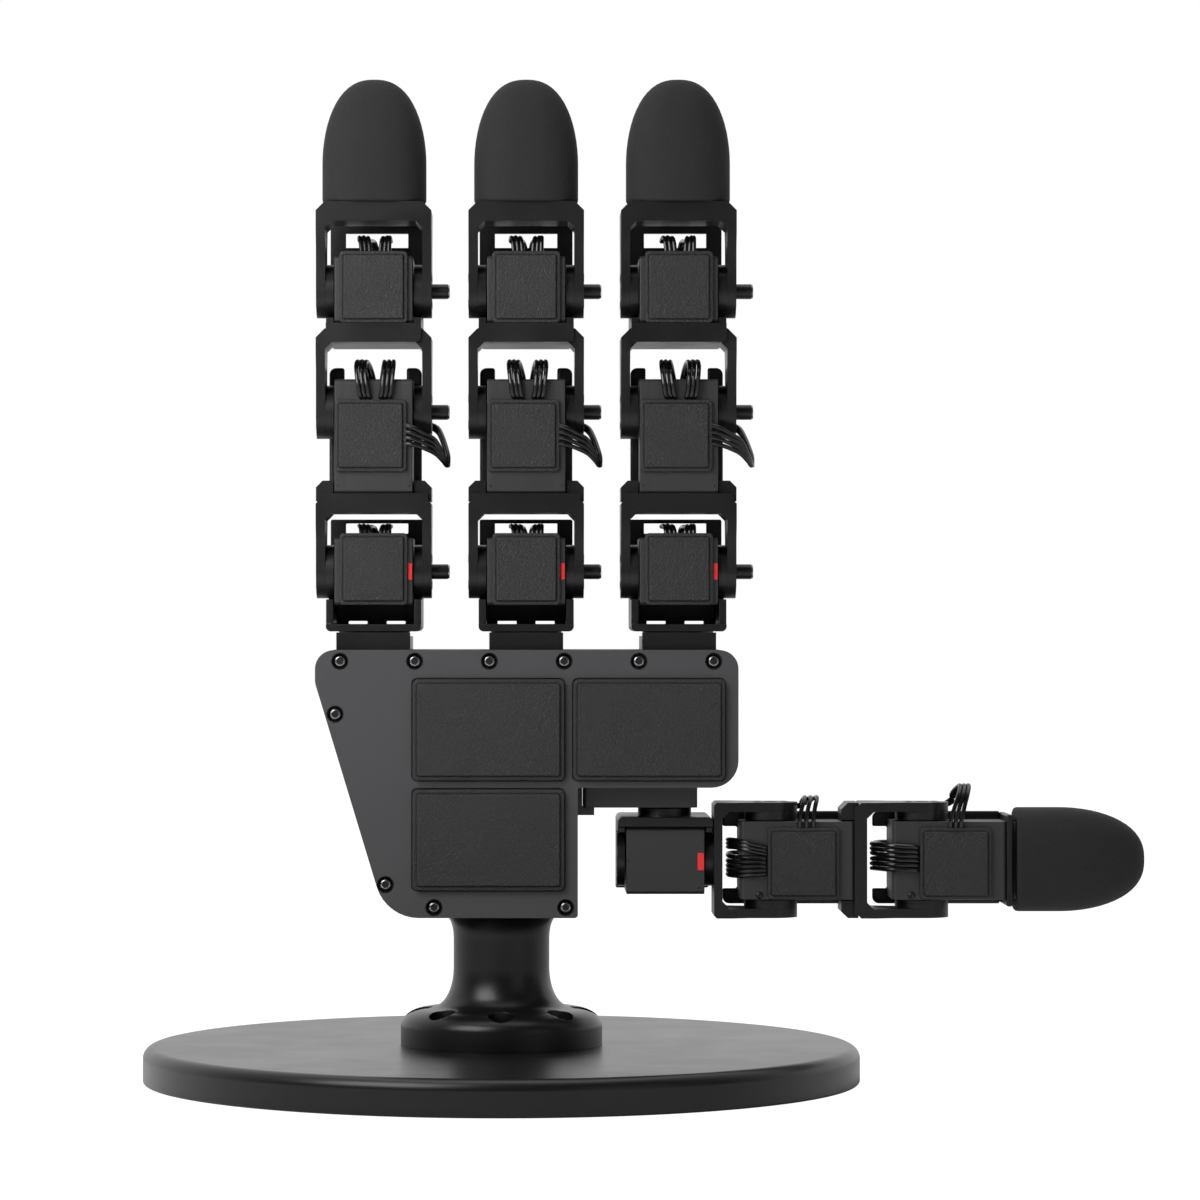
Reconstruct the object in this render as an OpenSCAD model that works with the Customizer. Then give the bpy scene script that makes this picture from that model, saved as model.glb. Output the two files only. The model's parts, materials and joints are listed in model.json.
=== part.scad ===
// Dexterous robot hand on a round display stand: three fingers and a thumb, driven by small servos.
// Millimetres, +Z up, palm towards -Y. The origin is the centre of the base disc's underside.

/* [Stand] */
// Diameter of the base disc
base_d = 214.5; // [180:0.5:240]
// Thickness of the base disc
base_t = 10.8; // [9:0.1:14]
// Radius of the base disc's upper edge
base_edge_r = 3.5; // [1:0.1:4]
// Diameter of the column's bolt flange
flange_d = 60.4; // [58:0.1:70]
// Height of the bolt flange
flange_h = 11; // [10:0.1:14]
// Width of the flange's rounded shoulder
flange_edge_w = 8.1; // [6:0.1:8.6]
// Height of the flange's rounded shoulder
flange_edge_h = 5.4; // [3:0.1:7]
// Diameter of the column's neck
neck_d = 28.7; // [24:0.1:32]
// Width of the fillet from the neck to the flange
neck_fillet_w = 6.4; // [4:0.1:7]
// Height of the fillet from the neck to the flange
neck_fillet_h = 11.8; // [6:0.1:13]
// Diameter of the column's head, under the palm
head_d = 34.6; // [33:0.1:37]
// Height of the flare under the head
head_flare_h = 7; // [4:0.1:10]
// Bolts in the flange
flange_bolt_n = 8; // [4:1:8]
// Bolt circle of the flange
flange_bolt_pcd = 49; // [48:0.1:50]
// Thread diameter of the flange bolts
flange_bolt_d = 4; // [3:0.5:5]
// Head diameter of the flange bolts
flange_head_d = 7; // [6:0.1:7.4]
// Head height of the flange bolts
flange_head_h = 4; // [3:0.1:5]
// Diameter of the flange's counterbores
flange_bore_d = 8; // [7.6:0.1:8.6]

/* [Palm] */
// Height of the palm's lower edge above the ground
palm_z = 49.7; // [46:0.1:56]
// Height of the palm
palm_h = 79.4; // [78:0.1:84]
// Depth of the palm, cover plate included
palm_d = 45; // [43:0.1:50]
// Distance from the fingers' axes to the cover's face
palm_fwd = 17.5; // [15.5:0.1:19]
// Thickness of the palm shell's walls
palm_wall = 2.5; // [1.6:0.1:3]
// Thickness of the cover plate
cover_t = 2.5; // [2:0.1:3]
// Distance from the stand's axis to the palm's little-finger side
palm_left = 55.2; // [54:0.1:60]
// Distance from the stand's axis to the palm's thumb side
palm_right = 70.3; // [69:0.1:75]
// Height of the block that carries the index finger and the thumb
block_h = 40.8; // [39:0.1:42]
// Distance from the stand's axis to the wrist's thumb side
wrist_right = 22.7; // [20:0.1:24]
// Radius of the palm's upper corners
palm_corner_r = 5.6; // [3:0.1:7]
// Radius of the block's lower outer corner
block_corner_r = 8; // [4:0.1:9]
// Distance from the palm's top to the slanted edge's upper end
slant_drop = 9.7; // [8:0.1:19]
// How far the slanted edge runs inwards
slant_in = 21.1; // [16:0.1:22]
// Radius of the wrist's slanted corner
wrist_corner_r = 13; // [10:0.1:14]
// Width of a palm pad
pad_w = 45; // [40:0.1:45.4]
// Height of a palm pad
pad_h = 30; // [26:0.1:30.4]
// Thickness of the palm pads
pad_t = 2.6; // [1.5:0.1:4]
// Bevel round the palm pads
pad_bevel = 1.2; // [0.5:0.1:1.3]
// Head diameter of the cover screws
cover_head_d = 4; // [3.6:0.1:4.4]
// Diameter of the recess round a cover screw
cover_recess_d = 5.1; // [4.8:0.1:5.6]
// Thread diameter of the cover screws
cover_screw_d = 2; // [1.6:0.1:2.5]

/* [Servos] */
// Width of a servo along its axis
servo_w = 23.3; // [22:0.1:24]
// Length of a servo
servo_l = 34; // [32:0.1:36]
// Height of a servo
servo_h = 20; // [19:0.1:20.6]
// Distance from a servo's axis to its near end
servo_end = 9.5; // [9:0.1:10]
// Chamfer along a servo's edges
servo_edge = 0.8; // [0.3:0.1:1.2]
// Diameter of the horn and idler discs
horn_d = 16; // [14:0.1:16.2]
// Diameter of the joint pins
pin_d = 4.5; // [4:0.1:5]
// Depth to which a joint pin sits in the servo
pin_depth = 4; // [3:0.1:6]
// Length of a joint pin outside the fork
pin_proud = 5.3; // [3:0.1:6]
// Width and height of the grip pads on the servos
grip_w = 21.4; // [18:0.1:22]
// Thickness of the grip pads
grip_t = 2; // [1:0.1:3]

// Thickness of the horn and idler discs
hub_t = 2.5; // [2:0.1:3]

/* [Fingers] */
// Distance between two fingers
finger_pitch = 45.5; // [44:0.1:48]
// Distance from the stand's axis to the middle finger
middle_x = 7.4; // [6:0.1:9]
// Height of the turret blocks on the palm
turret_h = 4; // [3:0.1:4.4]
// Width of the turret blocks
turret_w = 22; // [21.6:0.1:24]
// Diameter of the swivel turntables
turntable_d = 21.2; // [20:0.1:21.4]
// Thickness of the swivel turntables
turntable_t = 1.2; // [1:0.1:1.4]
// Height of the knuckle axis above the palm
knuckle_z = 23.4; // [23:0.1:26]
// Distance from the knuckle axis to the bending axis
knuckle_to_bend = 47.8; // [47.2:0.1:50]
// Distance from the bending axis to the tip axis
bend_to_tip = 36.2; // [35.8:0.1:38]
// Height of the fingertip above its fork
fingertip_l = 37.2; // [32:0.1:42]
// Width of the fingertip
fingertip_w = 31.2; // [28:0.1:33]
// Depth of the fingertip
fingertip_d = 24; // [20:0.1:28]
// Length of a fingertip's rounded end
fingertip_round = 25.5; // [20:0.1:30]

/* [Forks and cages] */
// Thickness of a fork's arms
arm_t = 2.75; // [2:0.1:3.2]
// Width of a fork's arms in depth
arm_w = 16; // [14:0.1:16.8]
// Width of a fork's crossbar in depth
bar_w = 20; // [18:0.1:24.4]
// Chamfer at the upper finger forks' outer corners
fork_chamfer = 2.7; // [1:0.1:2.7]
// Chamfer at the outer corners of the knuckle and thumb forks
small_chamfer = 0.8; // [0.4:0.1:1.5]
// Distance from the knuckle axis to its fork's crossbar
knuckle_reach = 17.4; // [16.6:0.1:17.8]
// Thickness of the knuckle fork's crossbar
knuckle_bar_t = 3.6; // [3:0.1:4]
// Distance from the bending or tip axis to its fork's crossbar
finger_reach = 20.5; // [20:0.1:20.6]
// Thickness of the middle fork's crossbar
middle_bar_t = 4.1; // [3.9:0.1:4.3]
// Thickness of the tip fork's crossbar
tip_bar_t = 5.8; // [4.6:0.1:6]
// Thickness of the cages' sheet
cage_t = 2.2; // [1.6:0.1:2.4]
// Height of the knuckle cage's rear wall above the knuckle axis
cage_rear_up = 16.2; // [12:0.1:17]
// Height of the tip cage's rear wall above the tip axis
tip_rear_up = 22.4; // [19:0.1:22.8]
// Depth of the frame behind a bending servo
frame_t = 3; // [2:0.1:3.4]
// Length of the frame's prongs past the servo
prong_l = 4.4; // [2:0.1:4.6]
// Width of the frame's prongs
prong_w = 4.6; // [3:0.1:5]

/* [Thumb] */
// Distance from the stand's axis to the thumb's yaw axis
thumb_x = 48.9; // [48:0.1:50]
// Distance from the palm block's underside to the thumb's roll axis
thumb_drop = 22; // [21.8:0.1:23]
// Distance from the roll fork's crossbar to the first thumb bend
roll_reach = 14.8; // [14.2:0.1:16]
// Distance from the bending fork's crossbar to the second thumb bend
thumb_reach = 17; // [15:0.1:18]
// Thickness of the thumb forks' crossbars
thumb_bar_t = 2.5; // [2:0.1:3]
// Length of the thumb tip
thumb_tip_l = 40.1; // [34:0.1:44]

/* [Fits] */
// Radial play of a turning pin in its bore
play = 0.05; // [0.03:0.01:0.1]
// Air gap between pieces that move past each other
gap = 0.3; // [0.25:0.05:0.35]
// Air gap between pieces that are screwed together in one node
seam = 0.03; // [0.02:0.01:0.05]

/* [Thumb servo] */
// How far the thumb's yaw servo stands below the palm block
yaw_servo_proud = 6.2; // [5.8:0.1:6.8]

/* [Leads] */
// Diameter of a servo lead, three wires side by side
lead_d = 2.4; // [2:0.1:2.6]
// Distance of a bending servo's two end leads from its middle
lead_x = 4.2; // [3.5:0.1:6]

/* [Hidden] */
$fn = 48;
FINGERS = ["ring", "middle", "index"];
FINGER_PARTS = ["cradle", "knuckle_servo", "knuckle_pad", "knuckle_leads", "knuckle_fork",
                "bend_servo", "bend_pad", "bend_leads", "middle_fork",
                "tip_servo", "tip_pad", "tip_leads", "tip_fork", "fingertip"];
THUMB_PARTS = ["cradle", "roll_servo", "roll_fork", "bend_servo", "bend_pad", "bend_leads",
               "bend_fork", "tip_servo", "tip_pad", "tip_leads", "fingertip"];
nozero = 0.01;

black = [0.13, 0.13, 0.135];
case_grey = [0.22, 0.22, 0.225];
pad_grey = [0.19, 0.19, 0.19];
plate_grey = [0.28, 0.28, 0.285];
steel = [0.62, 0.62, 0.64];
lead_black = [0.06, 0.06, 0.065];

// Stand
flange_top = base_t + flange_h;
flange_bore_depth = 8;
prong_r = 2;
head_z = palm_z;

// Palm
palm_top = palm_z + palm_h;
block_z = palm_top - block_h;
palm_front = -palm_fwd;
palm_back = palm_d - palm_fwd;
shell_front = palm_front + cover_t;
slant_h = palm_h - slant_drop;
slope = slant_in / slant_h;
slope_len = sqrt(1 + slope * slope);
cover_row_pitch = (palm_left + palm_right - 14.75) / 5;
cover_screw_xz = concat(
    [for (i = [0:5]) [-palm_left + 7.4 + i * cover_row_pitch, palm_top - 3.3]],
    [[-palm_left + 6.0, palm_top - 19.0],
     [-palm_left + slope * (slant_h - 9.9) + 2.8, palm_z + 9.9],
     [-palm_left + slant_in + 14.2, palm_z + 3.1],
     [wrist_right - 3.6, palm_z + 3.1]]);
cover_recess_depth = 1.9;
cover_head_h = 1.7;
post_l = 5;
cover_screw_l = cover_t - cover_recess_depth + post_l - 1.2;
post_d = 6.5;
pad_seat = 0.8;
palm_pad_gap = 2.6;

// Servos and hubs
body_half = servo_w / 2;
hub_in = body_half + gap;
arm_in = hub_in + hub_t + seam;
arm_out = arm_in + arm_t;
cage_out = arm_in - gap;
cage_in = cage_out - cage_t;
servo_back = servo_l - servo_end;
cage_front = servo_end + 1.5;
cage_back = servo_back + cage_t;
shoulder_l = 3.8;
shoulder_in = body_half + 0.4;
foot_slot_w = 5.8;
foot_slot_h = 0.9;
clip_d = 4;
clip_w = 16;
clip_h = 5;

// Fingers, measured from the palm's upper face
finger_x = [middle_x - finger_pitch, middle_x, middle_x + finger_pitch];
turntable_z = turret_h + gap;
cage_floor_z = turntable_z + turntable_t;
bend_z = knuckle_z + knuckle_to_bend;
tip_z = bend_z + bend_to_tip;
lip_t = 1;
knuckle_tray_t = knuckle_to_bend - servo_back - knuckle_reach - knuckle_bar_t;
grip_up = 0.7;
end_grip_inset = 1.1;
grip_shift = 0.8;
bend_grip_up = -7.4;
thumb_grip_up = -9.3;

// Thumb, its links laid out along +X
roll_z = block_z - thumb_drop;
thumb_bend_x = thumb_x + arm_in + thumb_bar_t + roll_reach;
thumb_tray_t = 1.3;
thumb_fork_x = thumb_bend_x + servo_back + thumb_tray_t;
thumb_tip_x = thumb_fork_x + thumb_bar_t + thumb_reach;
tip_mount_x = thumb_tip_x + servo_back;
tip_mount_t = 1.9;
tip_neck_l = 1.2;

// Leads: routes in a servo's own frame, its axis through the origin, +Z away from the palm
lead_r = lead_d / 2;
over_route = [[0, -6.5, 10], [0, -6.5, 12], [0, -5, 13.2], [0, -2, 13.6], [0, 4, 13.6], [0, 11, 13.6],
              [0, 18, 13.6], [0, 25, 13.6], [0, 27.5, 13.1], [0, 28.7, 11], [0, 28.7, 5]];
tip_route = [[0, -6.5, 10], [0, -6.5, 12.6], [0, -5, 14.8], [0, -2, 15.6], [0, 4, 15.6], [0, 11, 15.7],
             [0, 18, 16.4], [0, 25, 17.2], [0, 27.5, 16.4], [0, 28.7, 13.6], [0, 28.7, 5]];
end_route = [[0, -10, 5.4], [0, -11.2, 5.4], [0, -12, 6.4], [0, -12, 9], [0, -10.6, 12.2], [0, -7, 14.2],
             [0, -1, 15], [0, 6, 14.8], [0, 12.2, 12.6], [0, 15.1, 9.2], [0, 15.2, 5], [0, 15.2, 1]];
thumb_end_route = [[0, -4, 9.5], [0, -4, 10.6], [0, -2.6, 11.7], [0, 0, 12.1], [0, 4, 12.2], [0, 8, 12.3],
                   [0, 12.6, 12.2], [0, 15.3, 9.2], [0, 15.3, 5], [0, 15.3, 1]];
thumb_front_route = [[0, -10, 2.9], [0, -11.2, 2.9], [0, -11.9, 3.6], [0, -11.9, 6.6], [0, -11.2, 7.6],
                     [0, -10, 7.6]];
thumb_tip_route = [[0, -10, 5.4], [0, -11.3, 5.4], [0, -12, 6.4], [0, -11.9, 9], [0, -9.6, 11.7],
                   [0, -5.5, 14], [0, 0, 15], [0, 6, 13.8], [0, 12.6, 12.4], [0, 15.3, 9.2], [0, 15.3, 5],
                   [0, 15.3, 1]];
side_route = [[11.65, -7, -10.5], [13.4, -7, -10.5], [16.5, -7.6, -12.6], [20, -7.4, -14.9],
              [22.3, -5.4, -16], [22.8, -1.5, -14.6], [21.8, 2.5, -11], [20.4, 6, -7.4],
              [19.2, 9, -5], [17.2, 11.1, -3.8], [15.4, 11.5, -3.5], [14, 11.5, -3.5]];
thumb_low_route = [[11.65, -7, -10.5], [13.4, -7, -10.5], [16.2, -7.4, -10.7], [18.4, -6.4, -11],
                   [19.2, -3.6, -11.2], [19.2, 1, -10.4], [19, 5, -8.4], [18.8, 9, -5.6], [17.2, 11.1, -4],
                   [15.4, 11.5, -3.5], [14, 11.5, -3.5]];
thumb_side_route = [[11.65, -7, -10.5], [13.4, -7, -10.5], [17, -7.4, -10.8], [20.4, -6.6, -11.4],
                    [22, -3.6, -12], [21.8, 1, -11], [20.6, 5, -8.6], [19.2, 9, -5.6],
                    [17.2, 11.1, -4], [15.4, 11.5, -3.5], [14, 11.5, -3.5]];

// ---- Geometry helpers ----

function unit(v) = v / norm(v);

// Points of a rounded corner b between its neighbours a and c
function corner(a, b, c, r, n = 8) =
    r <= 0 ? [b] :
    let (u = unit(a - b), v = unit(c - b), half = acos(u * v) / 2,
         m = b + unit(u + v) * r / sin(half),
         p = b + u * r / tan(half), q = b + v * r / tan(half),
         a0 = atan2(p.y - m.y, p.x - m.x), a1 = atan2(q.y - m.y, q.x - m.x),
         turn = (a1 - a0 + 540) % 360 - 180)
    [for (i = [0:n]) m + r * [cos(a0 + turn * i / n), sin(a0 + turn * i / n)]];

// A closed outline from corners given as [x, y, radius]
function rounded(pts, steps = 8) =
    let (n = len(pts), xy = [for (p = pts) [p.x, p.y]])
    [for (i = [0:n - 1]) each corner(xy[(i + n - 1) % n], xy[i], xy[(i + 1) % n], pts[i].z, steps)];

// A rectangle about the origin with round corners
function plate_outline(w, h, r) =
    rounded([[-w / 2, -h / 2, r], [w / 2, -h / 2, r], [w / 2, h / 2, r], [-w / 2, h / 2, r]], 3);

// Extrudes an XZ outline from y0 to y1
module slab(y0, y1) {
    translate([0, y1, 0]) rotate([90, 0, 0]) linear_extrude(y1 - y0) children();
}

// Extrudes a YZ outline from x0 to x1
module wall(x0, x1) {
    translate([x0, 0, 0]) rotate([90, 0, 90]) linear_extrude(x1 - x0) children();
}

// A box between two corners
module span(a, b) {
    translate(a) cube(b - a);
}

// A tube swept along a route, its rings square to the route
module tube(route, r, sides = 8) {
    n = len(route);
    tangent = [for (i = [0:n - 1]) unit(route[min(i + 1, n - 1)] - route[max(i - 1, 0)])];
    side = [for (t = tangent) unit(cross(t, abs(t.x) < 0.8 ? [1, 0, 0] : [0, 1, 0]))];
    rings = [for (i = [0:n - 1]) for (k = [0:sides - 1])
             let (a = 360 * k / sides)
             route[i] + r * (cos(a) * side[i] + sin(a) * cross(tangent[i], side[i]))];
    faces = concat(
        [[for (k = [0:sides - 1]) k]],
        [for (i = [0:n - 2]) for (k = [0:sides - 1])
         let (k1 = (k + 1) % sides, a = i * sides, b = (i + 1) * sides)
         [a + k, b + k, b + k1, a + k1]],
        [[for (k = [sides - 1:-1:0]) (n - 1) * sides + k]]);
    polyhedron(rings, faces, convexity = 6);
}

// ---- Stand ----

module base_plate() {
    color(black) difference() {
        rotate_extrude($fn = 96) polygon(concat(
            [[0, 0], [base_d / 2 - 1, 0], [base_d / 2, 1]],
            [for (a = [0:15:90]) [base_d / 2 - base_edge_r + base_edge_r * cos(a),
                                  base_t - base_edge_r + base_edge_r * sin(a)]],
            [[0, base_t]]));
        flange_holes() translate([0, 0, base_t - 7]) cylinder(d = flange_bolt_d + 2 * seam, h = 8);
    }
}

// Places its children on the flange's bolt circle, one of them at the very front
module flange_holes() {
    for (i = [0:flange_bolt_n - 1])
        rotate([0, 0, 360 * i / flange_bolt_n - 90]) translate([flange_bolt_pcd / 2, 0, 0]) children();
}

module stand_column() {
    flare_r = (head_d - neck_d) / 2;
    color(black) difference() {
        rotate_extrude($fn = 64) polygon(concat(
            [[0, base_t], [flange_d / 2, base_t]],
            [for (a = [0:10:90]) [flange_d / 2 - flange_edge_w + flange_edge_w * cos(a),
                                  flange_top - flange_edge_h + flange_edge_h * sin(a)]],
            [for (a = [0:10:90]) [neck_d / 2 + neck_fillet_w - neck_fillet_w * sin(a),
                                  flange_top + 0.3 + neck_fillet_h - neck_fillet_h * cos(a)]],
            [for (a = [0:15:90]) [neck_d / 2 + flare_r * (1 - cos(a)),
                                  head_z - head_flare_h + head_flare_h * sin(a)]],
            [[0, head_z]]));
        flange_holes() {
            translate([0, 0, base_t - 1]) cylinder(d = flange_bolt_d + 2 * seam, h = flange_h);
            translate([0, 0, flange_top - flange_bore_depth]) cylinder(d = flange_bore_d, h = 20);
        }
    }
}

module flange_bolt() {
    seat = flange_top - flange_bore_depth + seam;
    difference() {
        union() {
            translate([0, 0, base_t - 6]) cylinder(d = flange_bolt_d, h = seat - base_t + 6.5);
            translate([0, 0, seat]) cylinder(d = flange_head_d, h = flange_head_h);
        }
        translate([0, 0, seat + flange_head_h - 2]) cylinder(d = 3.4, h = 3, $fn = 6);
    }
}

// ---- Palm ----

// The palm's outline seen from the front, moved inwards by e
function palm_outline(e) = rounded([
    [-palm_left + e, palm_top - e, max(palm_corner_r - e, 0.5)],
    [-palm_left + e, palm_z + slant_h + (slope_len - 1) * e / slope, 8],
    [-palm_left + slant_in + slope_len * e - slope * e, palm_z + e, max(wrist_corner_r - e, 1)],
    [wrist_right - e, palm_z + e, 1],
    [wrist_right - e, block_z + e, 0.5],
    [palm_right - e, block_z + e, max(block_corner_r - e, 0.5)],
    [palm_right - e, palm_top - e, max(palm_corner_r - e, 0.5)]]);

// Room for a swivel servo, e larger all round
module swivel_room(e, z0, z1) {
    for (x = finger_x)
        span([x - servo_h / 2 - e, -servo_end - e, z0], [x + servo_h / 2 + e, servo_back + e, z1]);
}

module palm_shell() {
    collar = turret_w / 2 - servo_h / 2;
    color(plate_grey) difference() {
        union() {
            difference() {
                slab(shell_front, palm_back) polygon(palm_outline(0));
                slab(shell_front - 1, palm_back - palm_wall) polygon(palm_outline(palm_wall));
            }
            intersection() {
                slab(shell_front, palm_back - 1) polygon(palm_outline(1));
                for (p = cover_screw_xz) translate([p.x, shell_front, p.y])
                    rotate([-90, 0, 0]) cylinder(d = post_d, h = post_l);
            }
            swivel_room(collar, palm_top - 1, palm_top + turret_h);
            // A lip before each turntable hides its gap
            for (x = finger_x) {
                span([x - turret_w / 2, -turntable_d / 2 - gap - lip_t, palm_top - 1],
                     [x + turret_w / 2, -servo_end, palm_top + turret_h]);
                span([x - turret_w / 2, -turntable_d / 2 - gap - lip_t, palm_top],
                     [x + turret_w / 2, -turntable_d / 2 - gap, palm_top + cage_floor_z - gap]);
            }
            // L-shaped holder of the yaw servo beside the wrist
            span([wrist_right - 1, -8, block_z - yaw_servo_proud - 2.3], [wrist_right + 1.4, 8, block_z + 1]);
            span([wrist_right - 1, -8, block_z - yaw_servo_proud - 2.3],
                 [wrist_right + 5, 8, block_z - yaw_servo_proud - seam]);
        }
        swivel_room(seam, palm_top - palm_wall - 1, palm_top + turret_h + 1);
        for (p = cover_screw_xz) translate([p.x, shell_front - 1, p.y])
            rotate([-90, 0, 0]) cylinder(d = cover_screw_d + 2 * seam, h = post_l);
        // The yaw servo looks out through the block's underside
        span([thumb_x - servo_back - gap, -servo_h / 2 - gap, block_z - 1],
             [thumb_x + servo_end + gap, servo_h / 2 + gap, block_z + palm_wall + 1]);
    }
}

module palm_cover() {
    color(plate_grey) difference() {
        slab(palm_front, shell_front - seam) polygon(palm_outline(0));
        for (p = cover_screw_xz) translate([p.x, palm_front, p.y]) rotate([-90, 0, 0]) {
            translate([0, 0, -1]) cylinder(d = cover_screw_d + 2 * seam, h = cover_t + 2);
            translate([0, 0, -1]) cylinder(d = cover_recess_d, h = 1 + cover_recess_depth);
        }
        palm_pad_places() pocket();
    }
}

// Places its children at the three palm pads
module palm_pad_places() {
    x0 = wrist_right - 4.0 - pad_w / 2;
    z0 = palm_top - 8.6 - pad_h / 2;
    for (p = [[x0, z0], [x0 + pad_w + palm_pad_gap, z0], [x0, z0 - pad_h - palm_pad_gap]])
        translate([p.x, palm_front, p.y]) children();
}

module pocket() {
    slab(-1, pad_seat) polygon(plate_outline(pad_w + 0.6, pad_h + 0.6, 1.5));
}

module palm_pads() {
    color(pad_grey) palm_pad_places()
        beveled_pad(pad_w, pad_h, pad_t + pad_seat - seam, pad_bevel, pad_seat - seam);
}

// A cushion of width w and height h, its back at y = back, its front edge bevelled
module beveled_pad(w, h, t, bevel, back) {
    slab(back - t + bevel, back) polygon(plate_outline(w, h, 1.2));
    slab(back - t + bevel / 2, back - t + bevel + nozero)
        polygon(plate_outline(w - 0.6 * bevel, h - 0.6 * bevel, 1.2));
    slab(back - t, back - t + bevel / 2 + nozero)
        polygon(plate_outline(w - 2 * bevel, h - 2 * bevel, 1.2));
}

module cover_screw() {
    rotate([-90, 0, 0]) difference() {
        union() {
            translate([0, 0, cover_recess_depth]) cylinder(d = cover_screw_d, h = cover_screw_l);
            translate([0, 0, cover_recess_depth - seam - cover_head_h])
                cylinder(d = cover_head_d, h = cover_head_h);
            translate([0, 0, cover_recess_depth - seam - 0.5]) cylinder(d = cover_screw_d, h = 1);
        }
        translate([0, 0, cover_recess_depth - cover_head_h - 1]) cylinder(d = 2, h = 1.9, $fn = 6);
    }
}

module fasteners() {
    color(black) flange_holes() flange_bolt();
    color(steel) for (p = cover_screw_xz) translate([p.x, palm_front, p.y]) cover_screw();
}

// Three swivel servos and the yaw servo inside the palm, and the control board behind them
module palm_drives() {
    color(case_grey) {
        for (x = finger_x) translate([x, 0, palm_top + turret_h - body_half])
            rotate([0, -90, 0]) servo_case(true, false);
        translate([thumb_x, 0, block_z - yaw_servo_proud + body_half])
            rotate([0, 0, 90]) rotate([0, 90, 0]) servo_case(true, false);
    }
    color([0.1, 0.3, 0.2])
        span([-palm_left + slant_in + 6, palm_back - palm_wall - 3.6, palm_z + 8],
             [wrist_right - 6, palm_back - palm_wall - 2, palm_z + 40]);
    color(black)
        for (x = [-palm_left + slant_in + 10, wrist_right - 10], z = [palm_z + 12, palm_z + 36])
            translate([x, palm_back - palm_wall, z]) rotate([90, 0, 0]) cylinder(d = 4, h = 2 - seam);
}

// ---- Servos ----

// A servo case, its axis along X through the origin and its long side towards +Y
module servo_case(right_bore = true, left_bore = true) {
    e = servo_edge;
    y0 = -servo_end;
    y1 = servo_back;
    z = servo_h / 2;
    difference() {
        wall(-body_half, body_half) polygon([[y0 + e, -z], [y1 - e, -z], [y1, -z + e], [y1, z - e],
                                             [y1 - e, z], [y0 + e, z], [y0, z - e], [y0, -z + e]]);
        if (right_bore) translate([body_half - pin_depth - play, 0, 0]) axis_bore();
        if (left_bore) translate([-body_half - 1, 0, 0]) axis_bore();
    }
}

module axis_bore() {
    rotate([0, 90, 0]) cylinder(d = pin_d + 2 * play, h = pin_depth + play + 1);
}

module axis_rod(x0, x1, d) {
    translate([x0, 0, 0]) rotate([0, 90, 0]) cylinder(d = d, h = x1 - x0);
}

// Horn with its spindle, on the left
module horn() {
    axis_rod(-hub_in - hub_t, -hub_in, horn_d);
    axis_rod(-hub_in - nozero, -body_half + pin_depth, pin_d);
}

// Idler disc on the right, and the pin through it
module idler(proud) {
    pin_end = proud ? arm_out + pin_proud : arm_out - 0.4;
    difference() {
        axis_rod(hub_in, hub_in + hub_t, horn_d);
        axis_rod(hub_in - 1, hub_in + hub_t + 1, pin_d + 2 * seam);
    }
    difference() {
        union() {
            axis_rod(body_half - pin_depth, pin_end - 0.6, pin_d);
            translate([pin_end - 0.6 - nozero, 0, 0]) rotate([0, 90, 0])
                cylinder(d1 = pin_d, d2 = pin_d - 1.2, h = 0.6 + nozero);
        }
        translate([pin_end - 1.5, 0, 0]) rotate([0, 90, 0]) cylinder(d = 2, h = 2, $fn = 6);
    }
}

// A grip pad on the near face of a servo, its middle at height z
module grip_pad(z, w = grip_w, h = grip_w) {
    translate([0, 0, z]) beveled_pad(w, h, grip_t, 0.6, -seam);
}

// ---- Forks ----

// A fork about the axis of its servo, its crossbar at height reach
module fork(reach, bar_t, proud, c = fork_chamfer) {
    top = reach + bar_t;
    ci = 2;
    color(black) {
        difference() {
            union() {
                slab(-bar_w / 2, bar_w / 2) polygon([
                    [-arm_out, reach - ci], [-arm_out, top - c], [-arm_out + c, top],
                    [arm_out - c, top], [arm_out, top - c], [arm_out, reach - ci],
                    [arm_in, reach - ci], [arm_in - ci, reach], [-arm_in + ci, reach], [-arm_in, reach - ci]]);
                for (x = [-arm_out, arm_in]) wall(x, x + arm_t) {
                    circle(d = arm_w);
                    polygon([[-arm_w / 2, 0], [arm_w / 2, 0], [arm_w / 2, reach - 8], [bar_w / 2, reach - 3],
                             [bar_w / 2, reach], [-bar_w / 2, reach], [-bar_w / 2, reach - 3],
                             [-arm_w / 2, reach - 8]]);
                }
                children();
            }
            axis_rod(arm_in - 1, arm_out + 1, pin_d + 2 * seam);
            axis_rod(-arm_out - 1, -arm_out + 1, pin_d + 0.8);
        }
        horn();
        idler(proud);
    }
}

// A tray on a fork's crossbar, which holds the far end of the next servo
module tray(top, floor_t) {
    z1 = top + floor_t;
    span([-arm_out + 1, -servo_h / 2, top - nozero], [arm_out - 1, servo_h / 2 + frame_t, z1 - seam]);
    for (m = [0, 1]) mirror([m, 0, 0])
        slab(-arm_w / 2, arm_w / 2) polygon([
            [shoulder_in, top - nozero], [arm_out, top - nozero], [arm_out, z1 + shoulder_l - 2],
            [arm_out - 2, z1 + shoulder_l], [shoulder_in, z1 + shoulder_l]]);
}

// ---- Fingers, each about its knuckle axis ----

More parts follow.
